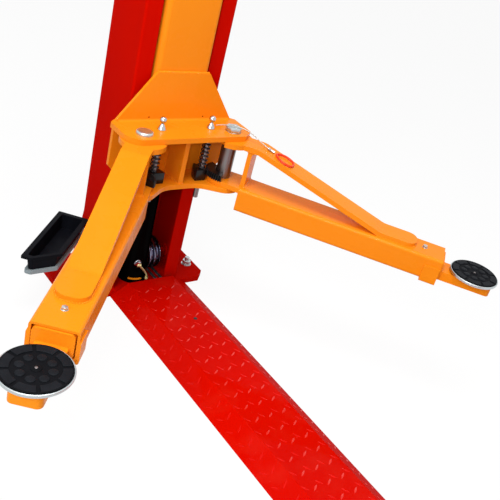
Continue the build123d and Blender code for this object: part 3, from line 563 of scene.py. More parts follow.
def weld_recipe():
    """Overlapping scales of a weld bead along the edges of a mesh."""
    r = Recipe("weld", Bead="Float", Step="Float")
    line = r.node("GeometryNodeMeshToCurve", {}, {"Mesh": r.given["Geometry"]})
    line = r.node("GeometryNodeResampleCurve", {"mode": "LENGTH"}, {
        "Curve": line, "Length": r.given["Step"]})
    scale = r.node("GeometryNodeMeshUVSphere", {}, {"Segments": 8, "Rings": 5, "Radius": r.given["Bead"]})
    scale = r.node("GeometryNodeTransform", {}, {"Geometry": scale, "Scale": (1, 1, 0.62)})
    scale = r.node("GeometryNodeSetShadeSmooth", {}, {"Geometry": scale})
    along = r.node("GeometryNodeInputTangent")
    turn = r.node("FunctionNodeAlignRotationToVector", {"axis": "Z"}, {"Vector": along})
    size = r.node("FunctionNodeRandomValue", {"data_type": "FLOAT"}, {
        2: 0.86, 3: 1.12, "Seed": 7}, output=1)
    copies = r.node("GeometryNodeInstanceOnPoints", {}, {
        "Points": line, "Instance": scale, "Rotation": turn, "Scale": size})
    return r.end(copies)


TREADS, RING, COIL, WELD = tread_recipe(), ring_recipe(), coil_recipe(), weld_recipe()
WELD_BEAD, WELD_STEP = 0.0032, 0.0030        # the fine beads of arms and carriages


def polyline(*runs):
    """A mesh of edges only, one run for each list of points."""
    work = bmesh.new()
    for points in runs:
        corners = [work.verts.new(p) for p in points]
        for a, b in zip(corners, corners[1:]):
            work.edges.new((a, b))
    return mesh_of(work, "line")


def arc(middle, radius, start, end, steps, height):
    """Points of a level arc, in degrees."""
    turns = [math.radians(start + (end - start) * i / steps) for i in range(steps + 1)]
    return [(middle[0] + radius * math.cos(t), middle[1] + radius * math.sin(t), height) for t in turns]


def hex_head(across, height, washer_radius, washer=0.002):
    """Hexagon head, measured across its flats, with a chamfered top on a washer on z = 0."""
    head = prism(regular(6, across / math.sqrt(3)), washer, washer + height)
    head = modified(head, rounded_edges(across * 0.05, 2, 20))
    plate = lathe([(0, 0), (washer_radius, 0), (washer_radius, washer * 0.8),
                   (washer_radius * 0.97, washer), (0, washer)], 32)
    return smooth(joined(head, plate), 25)


def socket_screw(radius, height):
    """Button-head screw with a hexagon socket, standing on z = 0."""
    dome = [(0, 0), (radius, 0), (radius, height * 0.3), (radius * 0.86, height * 0.75),
            (radius * 0.55, height), (radius * 0.42, height), (radius * 0.40, height * 0.45),
            (0, height * 0.4)]
    return lathe(dome, 30)


def smooth_line(name, points, radius, resolution=4, closed=False):
    """A round curve on a smooth spline that its points steer, with flat ends unless it is closed."""
    line = bpy.data.curves.new(name, "CURVE")
    line.dimensions = "3D"
    line.bevel_depth, line.bevel_resolution, line.use_fill_caps = radius, resolution, not closed
    spline = line.splines.new("NURBS")
    spline.points.add(len(points) - 1)
    for knot, point in zip(spline.points, points):
        knot.co = (*point, 1)
    spline.order_u = 3
    spline.use_cyclic_u = closed
    spline.use_endpoint_u = not closed
    spline.resolution_u = 12
    return line


def tube_along(points, radius, closed=False):
    """The mesh of a round tube on a smooth line."""
    line = smooth_line("line", points, radius, closed=closed)
    return smooth(evaluated(new_object("holder", line)))


# Camera, light and floor

FLOOR_REACH = 14.0
FLOOR_DROP = 0.0005                          # keeps the floor clear of the base plates
FLOOR_SHADE = colour(190, 190, 192)          # on the rays that light things
FLOOR_GLOW = 0.90                            # share of plain white in the floor as the camera sees it
SKY_LIGHT = 0.45

# Lamps: place, target, side of the square and watts
LAMPS = {
    "key": ((0.4, -3.0, 2.8), (-1.2, 0, 0.4), 1.6, 74),
    "fill": ((2.6, -1.0, 2.2), (-1.1, 0, 0.4), 2.0, 6),
    "flash": ((0.9, -1.75, 1.95), (-1.3, 0, 0.45), 0.3, 13),
    "top": ((-0.5, -0.5, 4.3), (-1.0, 0, 0.3), 2.0, 100),
}


def add_camera():
    """The camera that sees the left post as the photograph does."""
    lens = bpy.data.cameras.new("camera")
    lens.sensor_width = SENSOR
    lens.lens = CAMERA_LENS
    lens.shift_x, lens.shift_y = CAMERA_SHIFT
    camera = new_object("camera", lens)
    camera.location = CAMERA_PLACE
    camera.rotation_euler = [math.radians(t) for t in CAMERA_TURN]
    bpy.context.scene.camera = camera


def add_softbox(name, at, towards, size, power):
    """A square lamp that faces a point."""
    lamp = bpy.data.lights.new(name, "AREA")
    lamp.shape, lamp.size, lamp.energy = "SQUARE", size, power
    softbox = new_object(name, lamp)
    softbox.location = at
    softbox.rotation_euler = (Vector(towards) - Vector(at)).to_track_quat("-Z", "Y").to_euler()


def seen_directly(tree):
    """A socket that is 1 on camera, glossy and transmission rays, and 0 on rays that light things."""
    path = tree.nodes.new("ShaderNodeLightPath").outputs
    seen = path["Is Camera Ray"]
    for kind in ("Is Glossy Ray", "Is Transmission Ray"):
        seen = add_node(tree, "ShaderNodeMath", {"operation": "MAXIMUM"}, {0: seen, 1: path[kind]})
    return seen


def add_floor():
    """A pale floor that keeps the lift's shadow."""
    work = bmesh.new()
    bmesh.ops.create_grid(work, x_segments=1, y_segments=1, size=FLOOR_REACH)
    floor = new_object("floor", mesh_of(work, "floor"))
    floor.location = (0, 0, -FLOOR_DROP)
    material = bpy.data.materials.new("pale floor")
    material.use_nodes = True
    tree = material.node_tree
    shader, output = tree.nodes["Principled BSDF"], tree.nodes["Material Output"]
    shader.inputs["Roughness"].default_value = 0.9
    seen = seen_directly(tree)
    paint = add_node(tree, "ShaderNodeMix", {"data_type": "RGBA"}, {
        0: seen, 6: FLOOR_SHADE, 7: colour(255, 255, 255)}, output=2)
    feed(tree, shader.inputs["Base Color"], paint)
    share = add_node(tree, "ShaderNodeMath", {"operation": "MULTIPLY"}, {0: seen, 1: FLOOR_GLOW})
    glow = add_node(tree, "ShaderNodeEmission")
    mix = add_node(tree, "ShaderNodeMixShader", {}, {0: share, 1: shader.outputs[0], 2: glow})
    feed(tree, output.inputs["Surface"], mix)
    floor.data.materials.append(material)


def add_world():
    """Soft grey light from all round, seen as white."""
    world = bpy.data.worlds.new("studio")
    bpy.context.scene.world = world
    world.use_nodes = True
    tree = world.node_tree
    background = tree.nodes["Background"]
    background.inputs["Color"].default_value = (1, 1, 1, 1)
    strength = add_node(tree, "ShaderNodeMapRange", {}, {
        "Value": seen_directly(tree), "To Min": SKY_LIGHT, "To Max": 1.0})
    feed(tree, background.inputs["Strength"], strength)


add_camera()
add_world()
add_floor()
for name, lamp in LAMPS.items():
    add_softbox(name, *lamp)
bpy.context.scene.view_settings.view_transform = "Standard"


# CAD nodes: finishes, and rounded edges where they show

def dress(node, finish):
    """Give a CAD node its finish."""
    mesh = frame["nodes"][node].data
    mesh.materials.clear()
    mesh.materials.append(finish)


for side in SIDES:
    soften(f"{side}_column", RED, 0.0035, 3)
    soften(f"{side}_base_plate", RED, 0.0020)
    soften(f"{side}_tool_tray", BLACK_PLASTIC, 0.0010)
    soften(f"{side}_tray_bracket", GREY, 0.0012)
    soften(f"{side}_carriage_mast", ORANGE, 0.0020)
    soften(f"{side}_upper_shelf", ORANGE, 0.0020)
    soften(f"{side}_lower_bracket", ORANGE, 0.0018)
    # painted shade: the barrel is painted near black for the shadow inside the column
    dress(f"{side}_cylinder_barrel", PAINTED_SHADE_CYLINDER)
    dress(f"{side}_cylinder_stage", GROUND)
    dress(f"{side}_piston_rod", CHROME)
    soften(f"{side}_foot_sheave", SHEAVE_STEEL, 0.0010)
    dress(f"{side}_slide_blocks", NYLON)
    for arm in ARMS:
        soften(f"{side}_{arm}_arm_frame", ORANGE, 0.0018)
        soften(f"{side}_{arm}_arm_gear", BLACK_ENAMEL, 0.0006)
        soften(f"{side}_{arm}_inner_arm", ORANGE, 0.0045, 3)
soften("floor_cover", RED_TREAD, 0.0028)
dress("equalizer_cables", WIRE_ROPE)


# Floor cover: raised treads in two sets of rows, each set leaning its own way

TREAD_LENGTH = 0.026
TREAD_WIDTH = 0.0055
TREAD_RISE = 0.0010
TREAD_ROOT = 0.0004                          # how far a tread reaches into its sheet
TREAD_CROWN = 0.62                           # size of its flat top against its foot
TREAD_PITCH = (0.0541, 0.0505)               # along and across the cover
TREAD_COLUMNS = 51
TREAD_FIRST = -1.367                         # X of the first column
TREAD_LAG = (-0.011, -0.002)                 # of the second set against the first
TREAD_LEAN = 33.0                            # degrees
COVER_SCREW = (0.244, 0.067)                 # in the post's frame


def lozenge():
    """One raised tread: a lens outline with sloping sides, sunk a little in its sheet."""
    work = bmesh.new()
    steps = 6
    rings = []
    for share, height in ((1.0, -TREAD_ROOT), (1.0, 0.0001), (TREAD_CROWN, TREAD_RISE)):
        ring = []
        for side in (1, -1):
            for i in range(steps):
                along = side * (1 - 2 * i / steps)
                bulge = -side * (1 - along * along)
                x, y = along * TREAD_LENGTH / 2, bulge * TREAD_WIDTH / 2
                ring.append(work.verts.new((share * x, share * y, height)))
        rings.append(ring)
    for low, high in zip(rings, rings[1:]):
        for i in range(len(low)):
            j = (i + 1) % len(low)
            work.faces.new([low[i], low[j], high[j], high[i]])
    work.faces.new(rings[0])
    work.faces.new(rings[-1])
    return closed_mesh(work)


def tread_rows(finish, rows, lean):
    """Rows of treads that lean one way, centred on the origin."""
    along, across = TREAD_PITCH
    return TREADS.make(lozenge(), finish, Length=along * (TREAD_COLUMNS - 1), Width=across * (rows - 1),
                       Columns=TREAD_COLUMNS, Rows=rows, Lean=math.radians(lean))


def add_cover_treads():
    """Treads on the cover's top and on its two slopes: one set on the top in the lighter red of a painted
    glint, the rest in a fainter painted glint.
    """
    along, across = TREAD_PITCH
    middle = TREAD_FIRST + along * (TREAD_COLUMNS - 1) / 2
    first, second = place(middle), place(middle + TREAD_LAG[0], TREAD_LAG[1])
    side = (COVER_WIDTH - COVER_TOP_WIDTH) / 2
    slope = math.degrees(math.atan2(COVER_HEIGHT, side))
    top = place(0, COVER_SHIFT, COVER_HEIGHT)
    faint_glint_rows = [moved(tread_rows(FAINT_GLINT_TREAD, 4, TREAD_LEAN), top @ second)]
    for sign in (-1, 1):
        flank = place(0, COVER_SHIFT + sign * (COVER_TOP_WIDTH + side) / 2, COVER_HEIGHT / 2,
                      (-sign * slope, 0, 0))
        high, low = flank @ first @ place(0, across / 4), flank @ second @ place(0, -across / 4)
        faint_glint_rows.append(moved(tread_rows(FAINT_GLINT_TREAD, 1, TREAD_LEAN + 90), high))
        faint_glint_rows.append(moved(tread_rows(FAINT_GLINT_TREAD, 1, TREAD_LEAN), low))
    glinting_rows = moved(tread_rows(PAINTED_GLINT_TREAD, 3, TREAD_LEAN + 90), top @ first)
    add_piece("cover_treads", glinting_rows, PAINTED_GLINT_TREAD, "red_paint", "frame")
    add_piece("cover_treads_faint_glint", joined(*faint_glint_rows), FAINT_GLINT_TREAD, "red_paint", "frame")


add_cover_treads()


# Pads: dish on a screw stem, rubber disc, lugs and a small screw

LUG_COUNT = 8
LUG_RADIUS = 0.0105
LUG_RING = 0.034
RIB_INNER, RIB_OUTER = 0.051, 0.0705
RIB_GAP = 7.0                                # degrees
RUBBER_RELIEF = 0.0024
BOSS_RADIUS = 0.0115
CUP_RADIUS = 0.0775
CUP_BOTTOM, CUP_TOP = 0.4488, 0.4638
STEM_RADIUS, STEM_FOOT = 0.018, 0.4084
STEM_THREAD = 0.0040
PAD_SCREW = (0.0036, 0.0016)                 # radius and height


def pad_cup():
    """Zinc dish with a thick rolled rim, on its screw stem."""
    inner, rim, stem = PAD_RUBBER_RADIUS + 0.0002, CUP_RADIUS, STEM_RADIUS
    turns = int((CUP_BOTTOM - STEM_FOOT - 0.002) / STEM_THREAD)
    profile = [(0, STEM_FOOT), (stem - 0.0022, STEM_FOOT)]
    for i in range(turns):
        z = STEM_FOOT + 0.001 + i * STEM_THREAD
        profile += [(stem - 0.0010, z), (stem, z + STEM_THREAD * 0.4), (stem, z + STEM_THREAD * 0.6)]
    profile += [(stem - 0.0010, CUP_BOTTOM), (0.050, CUP_BOTTOM), (rim - 0.0062, CUP_BOTTOM + 0.0052)]
    profile += [(rim - 0.0028, CUP_BOTTOM + 0.0058), (rim - 0.0008, CUP_BOTTOM + 0.0070)]
    profile += [(rim, CUP_BOTTOM + 0.0088), (rim, CUP_TOP - 0.0024), (rim - 0.0007, CUP_TOP - 0.0008)]
    profile += [(rim - 0.0021, CUP_TOP), (inner + 0.0008, CUP_TOP - 0.0004), (inner, CUP_TOP - 0.0014)]
    return lathe(profile + [(inner, PAD_SEAT), (0, PAD_SEAT)], 96)


def pad_disc():
    """Plain rubber disc with a raised rim and a boss."""
    face = PAD_RUBBER_TOP - RUBBER_RELIEF
    radius = PAD_RUBBER_RADIUS
    return lathe([(0, PAD_SEAT), (radius, PAD_SEAT), (radius, PAD_RUBBER_TOP - 0.0008),
                  (radius - 0.0008, PAD_RUBBER_TOP), (radius - 0.0030, PAD_RUBBER_TOP - 0.0002),
                  (radius - 0.0042, face), (BOSS_RADIUS, face), (BOSS_RADIUS - 0.0006, face + 0.0012),
                  (BOSS_RADIUS * 0.6, face + 0.0022), (0, face + 0.0025)], 96)


def pad_lugs():
    """A ring of round lugs inside a ring of ribs, as they stand on the disc."""
    lug = lathe([(0, -0.001), (LUG_RADIUS, -0.001), (LUG_RADIUS - 0.0006, RUBBER_RELIEF * 0.6),
                 (LUG_RADIUS - 0.0024, RUBBER_RELIEF), (0, RUBBER_RELIEF)], 20)
    lugs = RING.make(lug, RUBBED_AND_HIGHLIT_RUBBER, Count=LUG_COUNT, Radius=LUG_RING)
    half = 180 / LUG_COUNT - RIB_GAP / 2
    turns = [math.radians(-half + 2 * half * i / 8) for i in range(9)]
    outline = [(RIB_OUTER * math.cos(t), RIB_OUTER * math.sin(t)) for t in turns]
    outline += [(RIB_INNER * math.cos(t), RIB_INNER * math.sin(t)) for t in reversed(turns)]
    rib = modified(prism(outline, -0.001, RUBBER_RELIEF), rounded_edges(0.0012, 2, 40))
    ribs = RING.make(rib, RUBBED_AND_HIGHLIT_RUBBER, Count=LUG_COUNT, Radius=0.0)
    return moved(joined(lugs, ribs), place(0, 0, PAD_RUBBER_TOP - RUBBER_RELIEF))


# Lock pins: ball head, rod and toothed block

BALL_RADIUS = 0.0105
BALL_Z = 0.673
NECK_RADIUS = 0.0045
ROD_RADIUS = 0.008
ROD_FOOT = 0.4055
BLOCK_BOTTOM, BLOCK_TOP = 0.474, 0.510
BLOCK_TIP = 0.0595
BLOCK_OUTER = 0.098
BLOCK_HALF_ANGLE = 16.0                      # degrees
TOOTH = 0.006
TOOTH_PITCH = 8.0                            # degrees


def ball_profile(radius, middle, stem):
    """Profile of a ball with a stem below it, from the stem's side up to the top."""
    start = math.asin(stem / radius)
    turns = [start + (math.pi - start) * i / 14 for i in range(14)]
    return [(radius * math.sin(t), middle - radius * math.cos(t)) for t in turns] + [(0, middle + radius)]


def pin_head():
    """Bright domed nut with a ball knob above the shelf."""
    cone = ((0, 0.0005), (0.0125, 0.0005), (0.0125, 0.0030), (0.0118, 0.0040), (0.0085, 0.0110),
            (0.0055, 0.0165), (NECK_RADIUS, 0.0185), (NECK_RADIUS, 0.0205))
    nut = [(radius, SHELF_TOP + rise) for radius, rise in cone]
    return lathe(nut + ball_profile(BALL_RADIUS, BALL_Z, NECK_RADIUS), 36)


def pin_rod():
    """Ground rod from below the lower shelf up to the domed nut."""
    radius, low, high = ROD_RADIUS, ROD_FOOT, SHELF_TOP + 0.0005
    return lathe([(0, low), (radius - 0.0012, low), (radius, low + 0.0012), (radius, high), (0, high)], 28)


def lock_block():
    """Black block with teeth towards the arm's gear, in the frame of a rear pivot axis."""
    away = math.degrees(math.atan2(LOCK[1] - PIVOT[1], LOCK[0] - PIVOT[0]))
    root, tip = BLOCK_TIP + TOOTH, BLOCK_TIP
    teeth = []
    for i in range(int(2 * BLOCK_HALF_ANGLE / TOOTH_PITCH)):
        for share, radius in ((0.12, root), (0.38, tip), (0.62, tip), (0.88, root)):
            t = math.radians(away - BLOCK_HALF_ANGLE + (i + share) * TOOTH_PITCH)
            teeth.append((radius * math.cos(t), radius * math.sin(t)))
    turns = [math.radians(away + BLOCK_HALF_ANGLE * (1 - i / 6)) for i in range(13)]
    back = [(BLOCK_OUTER * math.cos(t), BLOCK_OUTER * math.sin(t)) for t in turns]
    body = modified(prism(teeth + back, BLOCK_BOTTOM, BLOCK_TOP), rounded_edges(0.0011, 2, 30))
    return smooth(body)


def coil_spring():
    """Dark coil between the toothed block and the upper shelf."""
    height = SPRING_TOP - SPRING_FOOT - SPRING_WIRE
    coil = COIL.make(bpy.data.meshes.new("start"), DARK_STEEL, Turns=SPRING_TURNS, Radius=SPRING_RADIUS,
                     Height=height, Wire=SPRING_WIRE / 2)
    return moved(coil, place(0, 0, SPRING_FOOT + SPRING_WIRE / 2))


def add_lock(side, arm):
    """The lock pin, its spring and its block."""
    node, body, at = f"{side}_{arm}_lock_pin", f"{side}_{arm}_lock", lock_frame(side, arm)
    pivot = post_frame(side) @ Matrix.Diagonal((1, ARM_SIGN[arm], 1, 1)) @ place(*PIVOT)
    add_piece(node + "_head", moved(pin_head(), at), CHROME, "chrome", body, [node])
    add_piece(node + "_rod", moved(pin_rod(), at), GROUND, "steel", body, [node])
    add_piece(node + "_block", moved(lock_block(), pivot), BLACK_ENAMEL, "black_paint", body, [node])
    spring = add_piece(f"{side}_{arm}_coil", moved(coil_spring(), at), DARK_STEEL, "spring_steel",
                       f"{side}_carriage", [f"{side}_{arm}_lock_spring"])
    top = at @ Vector((0, 0, SPRING_TOP))
    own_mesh(spring)


# Arms: stop bolts, welds and pads

LAP_BACK = 0.525                             # just behind the fold where the strut meets the tube
STRUT_END = 0.648
STRUT_HALF = 0.040
STRUT_CORNER = 0.032
POST_BAR = (0.070, 0.084)
POST_HALF = 0.038
UPPER_EAR_BOTTOM = 0.6105
STOP_BOLT = (0.013, 0.0060, 0.0085)
STOP_BOLT_TURN = 12.0                        # degrees


def arm_welds():
    """Beads round the strut's lap on the tube and round the foot and head of the upright bar."""
    z, corner = TUBE_TOP, STRUT_CORNER
    far, half = STRUT_END - corner, STRUT_HALF - corner
    lap = [(LAP_BACK, -STRUT_HALF, z)] + arc((far, -half), corner, -90, 0, 8, z)
    lap += arc((far, half), corner, 0, 90, 8, z) + [(LAP_BACK, STRUT_HALF, z)]
    (near, back), side = POST_BAR, POST_HALF
    foot = [(near, -side, z), (near, side, z), (back, side, z), (back, -side, z), (near, -side, z)]
    head = [(x, y, UPPER_EAR_BOTTOM) for x, y, _ in foot]
    return WELD.make(polyline(lap, foot, head), ORANGE, Bead=WELD_BEAD, Step=WELD_STEP)


def add_arm_details(side, arm):
    """Stop bolt, welds and the rubber pad of one arm."""
    name = f"{side}_{arm}_"
    at, body = arm_frame(side, arm), name + "arm"
    bolt = moved(hex_head(*STOP_BOLT), place(STOP_BOLT_AT, 0, TUBE_TOP, (0, 0, STOP_BOLT_TURN)))
    add_piece(name + "stop_bolt", moved(bolt, at), ZINC, "zinc", body)
    add_piece(name + "welds", moved(arm_welds(), at), ORANGE, "orange_paint", body)
    pad, body = at @ place(PAD_AT), name + "pad"
    add_piece(name + "pad_dish", moved(pad_cup(), pad), ZINC, slot_of(name + "pad_cup"), body,
              [name + "pad_cup"])
    add_piece(name + "pad_disc", moved(pad_disc(), pad), RUBBER, "pad_rubber", body, [name + "pad_rubber"])
    add_piece(name + "pad_lugs", moved(pad_lugs(), pad), RUBBED_AND_HIGHLIT_RUBBER, "pad_rubber", body)
    screw = moved(socket_screw(*PAD_SCREW), place(0, 0, PAD_RUBBER_TOP - 0.0004))
    add_piece(name + "pad_screw", moved(screw, pad), GROUND, "steel", body)


# Post feet: anchor bolts, welds and the fittings at the cylinder's foot

# Hexagons: across flats, height, washer radius and, in some, the washer's thickness
ANCHOR_NUT = (0.027, 0.014, 0.0185, 0.003)
PORT_SCREW = (0.018, 0.007, 0.012)
PIPE_NUT = (0.013, 0.008, 0.0075, 0.001)

ANCHOR_STUD_RADIUS = 0.0088
ANCHOR_STUD_TOP = 0.030                      # above the base plate
COLUMN_BACK_X = -0.200
COLUMN_BACK_HALF = 0.125
COLUMN_SIDE = ((-0.015, 0.097), (-0.015, 0.142), (-0.023, 0.150), (-0.027, 0.150), (-0.035, 0.144),
               (-0.070, 0.144), (-0.085, 0.150), (-0.188, 0.150), (-0.197, 0.147), (-0.200, 0.138))
GUSSET_X, GUSSET_Y, GUSSET_HALF, GUSSET_TOP = -0.248, 0.132, 0.005, 0.270
FOOT_BEAD, FOOT_STEP = 0.004, 0.0036
CYLINDER_X, BARREL_RADIUS = -0.070, 0.042
FLANGE_RADIUS, FLANGE_TOP = 0.050, 0.034
PORT = (-0.030, -0.012, 0.100)               # screw on the barrel's front
PIPE_RADIUS = 0.0038
PIPE = ((-0.024, -0.010, 0.094), (-0.022, 0.004, 0.082), (-0.022, 0.020, 0.062), (-0.023, 0.029, 0.048),
        (-0.023, 0.029, 0.034))
CLIP_TURNS = (-46, 12)                       # degrees round the barrel
CLIP_THICK = 0.004


def anchor_bolt():
    """Washer, nut and stud end of one anchor."""
    radius, foot, top = ANCHOR_STUD_RADIUS, 0.010, ANCHOR_STUD_TOP
    stud = lathe([(0, foot), (radius, foot), (radius, top - 0.0015), (radius - 0.0014, top), (0, top)], 24)
    return joined(hex_head(*ANCHOR_NUT), stud)


def foot_welds():
    """Beads where the column and its gussets stand on the base plate."""
    z = BASE_TOP
    runs = [[(x, s * y, z) for x, y in COLUMN_SIDE] for s in (-1, 1)]
    runs.append([(COLUMN_BACK_X, -COLUMN_BACK_HALF, z), (COLUMN_BACK_X, COLUMN_BACK_HALF, z)])
    for s in (-1, 1):
        for face in (-GUSSET_HALF, GUSSET_HALF):
            y = s * GUSSET_Y + face
            runs.append([(GUSSET_X, y, z), (COLUMN_BACK_X, y, z), (COLUMN_BACK_X, y, GUSSET_TOP)])
    return WELD.make(polyline(*runs), RED, Bead=FOOT_BEAD, Step=FOOT_STEP)


def foot_port():
    """Bright hexagon screw on the front of the barrel, turned to face the room."""
    return moved(hex_head(*PORT_SCREW), place(*PORT, (0, 90, 0)))


def foot_pipe():
    """Brass pipe from the screw down to an elbow and its nut."""
    nut = moved(hex_head(*PIPE_NUT), place(*PIPE[-1]))
    sleeve = moved(lathe([(0, 0), (0.007, 0), (0.007, 0.012), (0.0055, 0.014), (0, 0.014)], 24),
                   place(*PIPE[0], (-60, 90, 0)) @ place(0, 0, -0.004))
    return joined(tube_along(PIPE, PIPE_RADIUS), nut, sleeve)


def foot_clip():
    """Orange strap on the flange, bent round the barrel."""
    start, end = CLIP_TURNS
    near, far = BARREL_RADIUS + 0.0008, FLANGE_RADIUS - 0.0005
    outer = [(x, y) for x, y, _ in arc((CYLINDER_X, 0), far, start, end, 14, 0)]
    inner = [(x, y) for x, y, _ in arc((CYLINDER_X, 0), near, end, start, 14, 0)]
    strap = prism(outer + inner, FLANGE_TOP, FLANGE_TOP + CLIP_THICK)
    return smooth(modified(strap, rounded_edges(0.0006)))


def cover_screw():
    """Small dark countersunk screw in the cover."""
    return lathe([(0, 0), (0.0065, 0), (0.0060, 0.0009), (0.0035, 0.0012), (0.0030, 0.0004),
                  (0, 0.0004)], 24)


def add_foot_details(side):
    """Anchors, welds, hydraulic fittings and the cover's screw of one post."""
    at = post_frame(side)
    bolts = [moved(anchor_bolt(), at @ place(x, y, BASE_TOP))
             for x in ANCHOR_X for y in (-ANCHOR_Y, ANCHOR_Y)]
    add_piece(f"{side}_anchor_bolts", joined(*bolts), ZINC, "zinc", "frame")
    add_piece(f"{side}_foot_welds", moved(foot_welds(), at), RED, "red_paint", "frame")
    add_piece(f"{side}_foot_port", moved(foot_port(), at), CHROME, "chrome", "frame")
    add_piece(f"{side}_foot_pipe", moved(foot_pipe(), at), BRASS, "zinc", "frame")
    add_piece(f"{side}_foot_clip", moved(foot_clip(), at), ORANGE, "orange_paint", "frame")
    screw = moved(cover_screw(), at @ place(*COVER_SCREW, COVER_HEIGHT))
    add_piece(f"{side}_cover_screw", screw, BLACK_ENAMEL, "black_paint", "frame")


# Carriages: pivot pins and welds

PIN_RADIUS, PIN_FOOT = 0.024, 0.4415
PIN_COLLAR_RADIUS, PIN_COLLAR_FOOT = 0.030, 0.4515
PIVOT_HEXAGON = (0.046, 0.0125, 0.0235, 0.0025)
PIVOT_HEXAGON_TURN = 8.0                     # degrees
FLARE_BEAD, FLARE_STEP = 0.0048, 0.0042


def pivot_pin():
    """Ground pin with a collar under the lower shelf."""
    radius, collar, foot = PIN_RADIUS, PIN_COLLAR_RADIUS, PIN_COLLAR_FOOT
    return lathe([(0, PIN_FOOT), (radius - 0.002, PIN_FOOT), (radius, PIN_FOOT + 0.002), (radius, foot),
                  (collar - 0.001, foot), (collar, foot + 0.001), (collar, LOWER_SHELF_BOTTOM),
                  (radius, LOWER_SHELF_BOTTOM), (radius, SHELF_TOP), (0, SHELF_TOP)], 64)


def round_head():
    """Flat round head with a rolled edge."""
    return lathe([(0, 0), (0.025, 0), (0.025, 0.0042), (0.0243, 0.0070), (0.0226, 0.0090),
                  (0.0198, 0.0100), (0, 0.0100)], 64)


def carriage_welds():
    """Beads along the flared plate's top, the stiffener's foot and its back."""
    back, front, half = STIFFENER
    low, high = LOWER_SHELF_TOP, SHELF_BOTTOM
    runs = []
    for s in (-half, half):
        runs.append([(front, s, low), (back, s, low), (back, s, high), (front, s, high)])
    x, reach = FLARE_THICK * 0.45, FLARE_TOP_HALF - 0.004
    flare = [(x, -reach, FLARE_TOP), (x, reach, FLARE_TOP)]
    fine = WELD.make(polyline(*runs), ORANGE, Bead=WELD_BEAD, Step=WELD_STEP)
    broad = WELD.make(polyline(flare), ORANGE, Bead=FLARE_BEAD, Step=FLARE_STEP)
    return joined(fine, broad)


def add_carriage_details(side):
    """Pivot pins with their bright heads, and the carriage's welds."""
    at, body, node = post_frame(side), f"{side}_carriage", f"{side}_pivot_pins"
    pins = [moved(pivot_pin(), at @ place(PIVOT[0], s * PIVOT[1])) for s in (-1, 1)]
    add_piece(node + "_ground", joined(*pins), GROUND, slot_of(node), body, [node])
    flat = moved(round_head(), at @ place(PIVOT[0], -PIVOT[1], SHELF_TOP))
    hexagon = moved(hex_head(*PIVOT_HEXAGON), at @ place(*PIVOT, SHELF_TOP, (0, 0, PIVOT_HEXAGON_TURN)))
    add_piece(f"{side}_pivot_heads", joined(flat, hexagon), ZINC, "zinc", body, [node])
    add_piece(f"{side}_carriage_welds", moved(carriage_welds(), at), ORANGE, "orange_paint", body)


# Release cord: from a lock pin's ball over the pivot's head, with a ferrule and a loop on the strut

CORD_DIAMETER = 0.003
CORD_TAIL = 0.120                            # pivot axis to the ferrule
FERRULE_RADIUS, FERRULE_LENGTH = 0.0045, 0.024
LOOP_LENGTH, LOOP_HALF, LOOP_BAND = 0.064, 0.0225, 0.0032
LOOP_RISE = 0.0050
LOOP_SHAPE = ((0.28, 0.80), (0.66, 1.25), (1.12, 0.85))      # shares of its length and half width
STRUT_SLOPE = 15.9                           # degrees
UPPER_EAR_TOP = 0.6265
STRUT_FLAT = 0.105
FIXED_LENGTH, SWINGING_LENGTH = 0.0592, 0.125                # of the cord's two parts

# Points that steer the cord: its fixed part in the post's frame, the rest in the arm's
HEAD_CLEAR = 0.660                           # just over the hexagon head
FIXED_COURSE = ((LOCK[0] + 0.009, LOCK[1] + 0.0115, SHELF_TOP + 0.014),
                (LOCK[0] + 0.014, LOCK[1] + 0.038, HEAD_CLEAR + 0.001))
MEETING = (0, 0, HEAD_CLEAR + 0.0015)
SWINGING_COURSE = ((0.0012, 0, HEAD_CLEAR + 0.0014), (0.038, 0.006, HEAD_CLEAR + 0.0006),
                   (0.076, 0.009, SHELF_TOP + 0.001), (0.098, 0.005, UPPER_EAR_TOP + 0.008))


def strut_top(along):
    """Height of the strut's upper face at a distance from the pivot."""
    return UPPER_EAR_TOP - max(0.0, along - STRUT_FLAT) * math.tan(math.radians(STRUT_SLOPE))


def add_cord(name, points, length, body, node, **ends):
    """A cord on a smooth spline that its points steer."""
    line = smooth_line(name, points, CORD_DIAMETER / 2, 3)
    line.materials.append(BRIGHT_CORD)
    cord = new_object(name, line)
    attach(cord, body)
    slot_of(node)
    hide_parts(node)


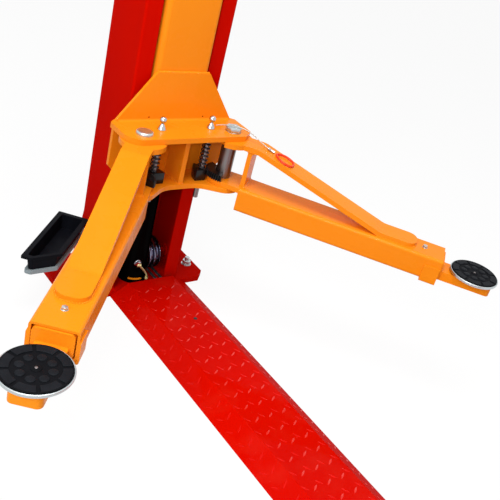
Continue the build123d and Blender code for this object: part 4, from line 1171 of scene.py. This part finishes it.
def ferrule():
    """Bright crimped sleeve along +X, with a waist and rolled ends."""
    radius, length = FERRULE_RADIUS, FERRULE_LENGTH
    waist = radius * 0.82
    profile = [(0, 0), (radius * 0.8, 0), (radius, 0.001), (radius, length * 0.30), (waist, length * 0.36),
               (waist, length * 0.64), (radius, length * 0.70), (radius, length - 0.001),
               (radius * 0.8, length), (0, length)]
    return moved(lathe(profile, 28), place(turn=(0, 90, 0)))


def handle_loop():
    """Round red loop that narrows to its ferrule, lying in the plane z = 0."""
    length, half = LOOP_LENGTH - LOOP_BAND, LOOP_HALF
    points = [(0.004, 0, 0)] + [(length * share, half * out, 0) for share, out in LOOP_SHAPE]
    points += [(length * share, -half * out, 0) for share, out in reversed(LOOP_SHAPE)]
    return tube_along(points, LOOP_BAND, closed=True)


def add_release_cord():
    """The cord on the left post's rear arm."""
    post, arm = post_frame("left"), arm_frame("left", "rear")
    fixed = [post @ Vector(p) for p in FIXED_COURSE] + [arm @ Vector(MEETING)]
    tail = arm @ Vector((CORD_TAIL, 0, strut_top(CORD_TAIL) + FERRULE_RADIUS + 0.0008))
    swinging = [arm @ Vector(p) for p in SWINGING_COURSE] + [tail]
    along_strut = place(*tail) @ place(turn=(0, STRUT_SLOPE, ARM_ANGLE["rear"]))
    crimp = add_piece("release_ferrule", moved(ferrule(), along_strut), CHROME, "chrome", "left_rear_arm",
                      ["release_cord_arm"])
    start = CORD_TAIL + FERRULE_LENGTH
    on_strut = arm @ place(start, 0, strut_top(start) + LOOP_RISE, (0, STRUT_SLOPE, 0))
    add_piece("release_handle", moved(handle_loop(), on_strut), HANDLE, slot_of("release_loop"),
              "left_rear_arm", ["release_loop"])
    add_cord("release_cord_fixed", fixed, FIXED_LENGTH, "left_carriage", "release_cord_knob",
             far_end="object")
    add_cord("release_cord_swinging", swinging, SWINGING_LENGTH, "left_rear_arm", "release_cord_arm",
             far_end="fitting", with_pieces=[crimp])


add_release_cord()
for side in SIDES:
    add_foot_details(side)
    add_carriage_details(side)
    for arm in ARMS:
        add_lock(side, arm)
        add_arm_details(side, arm)
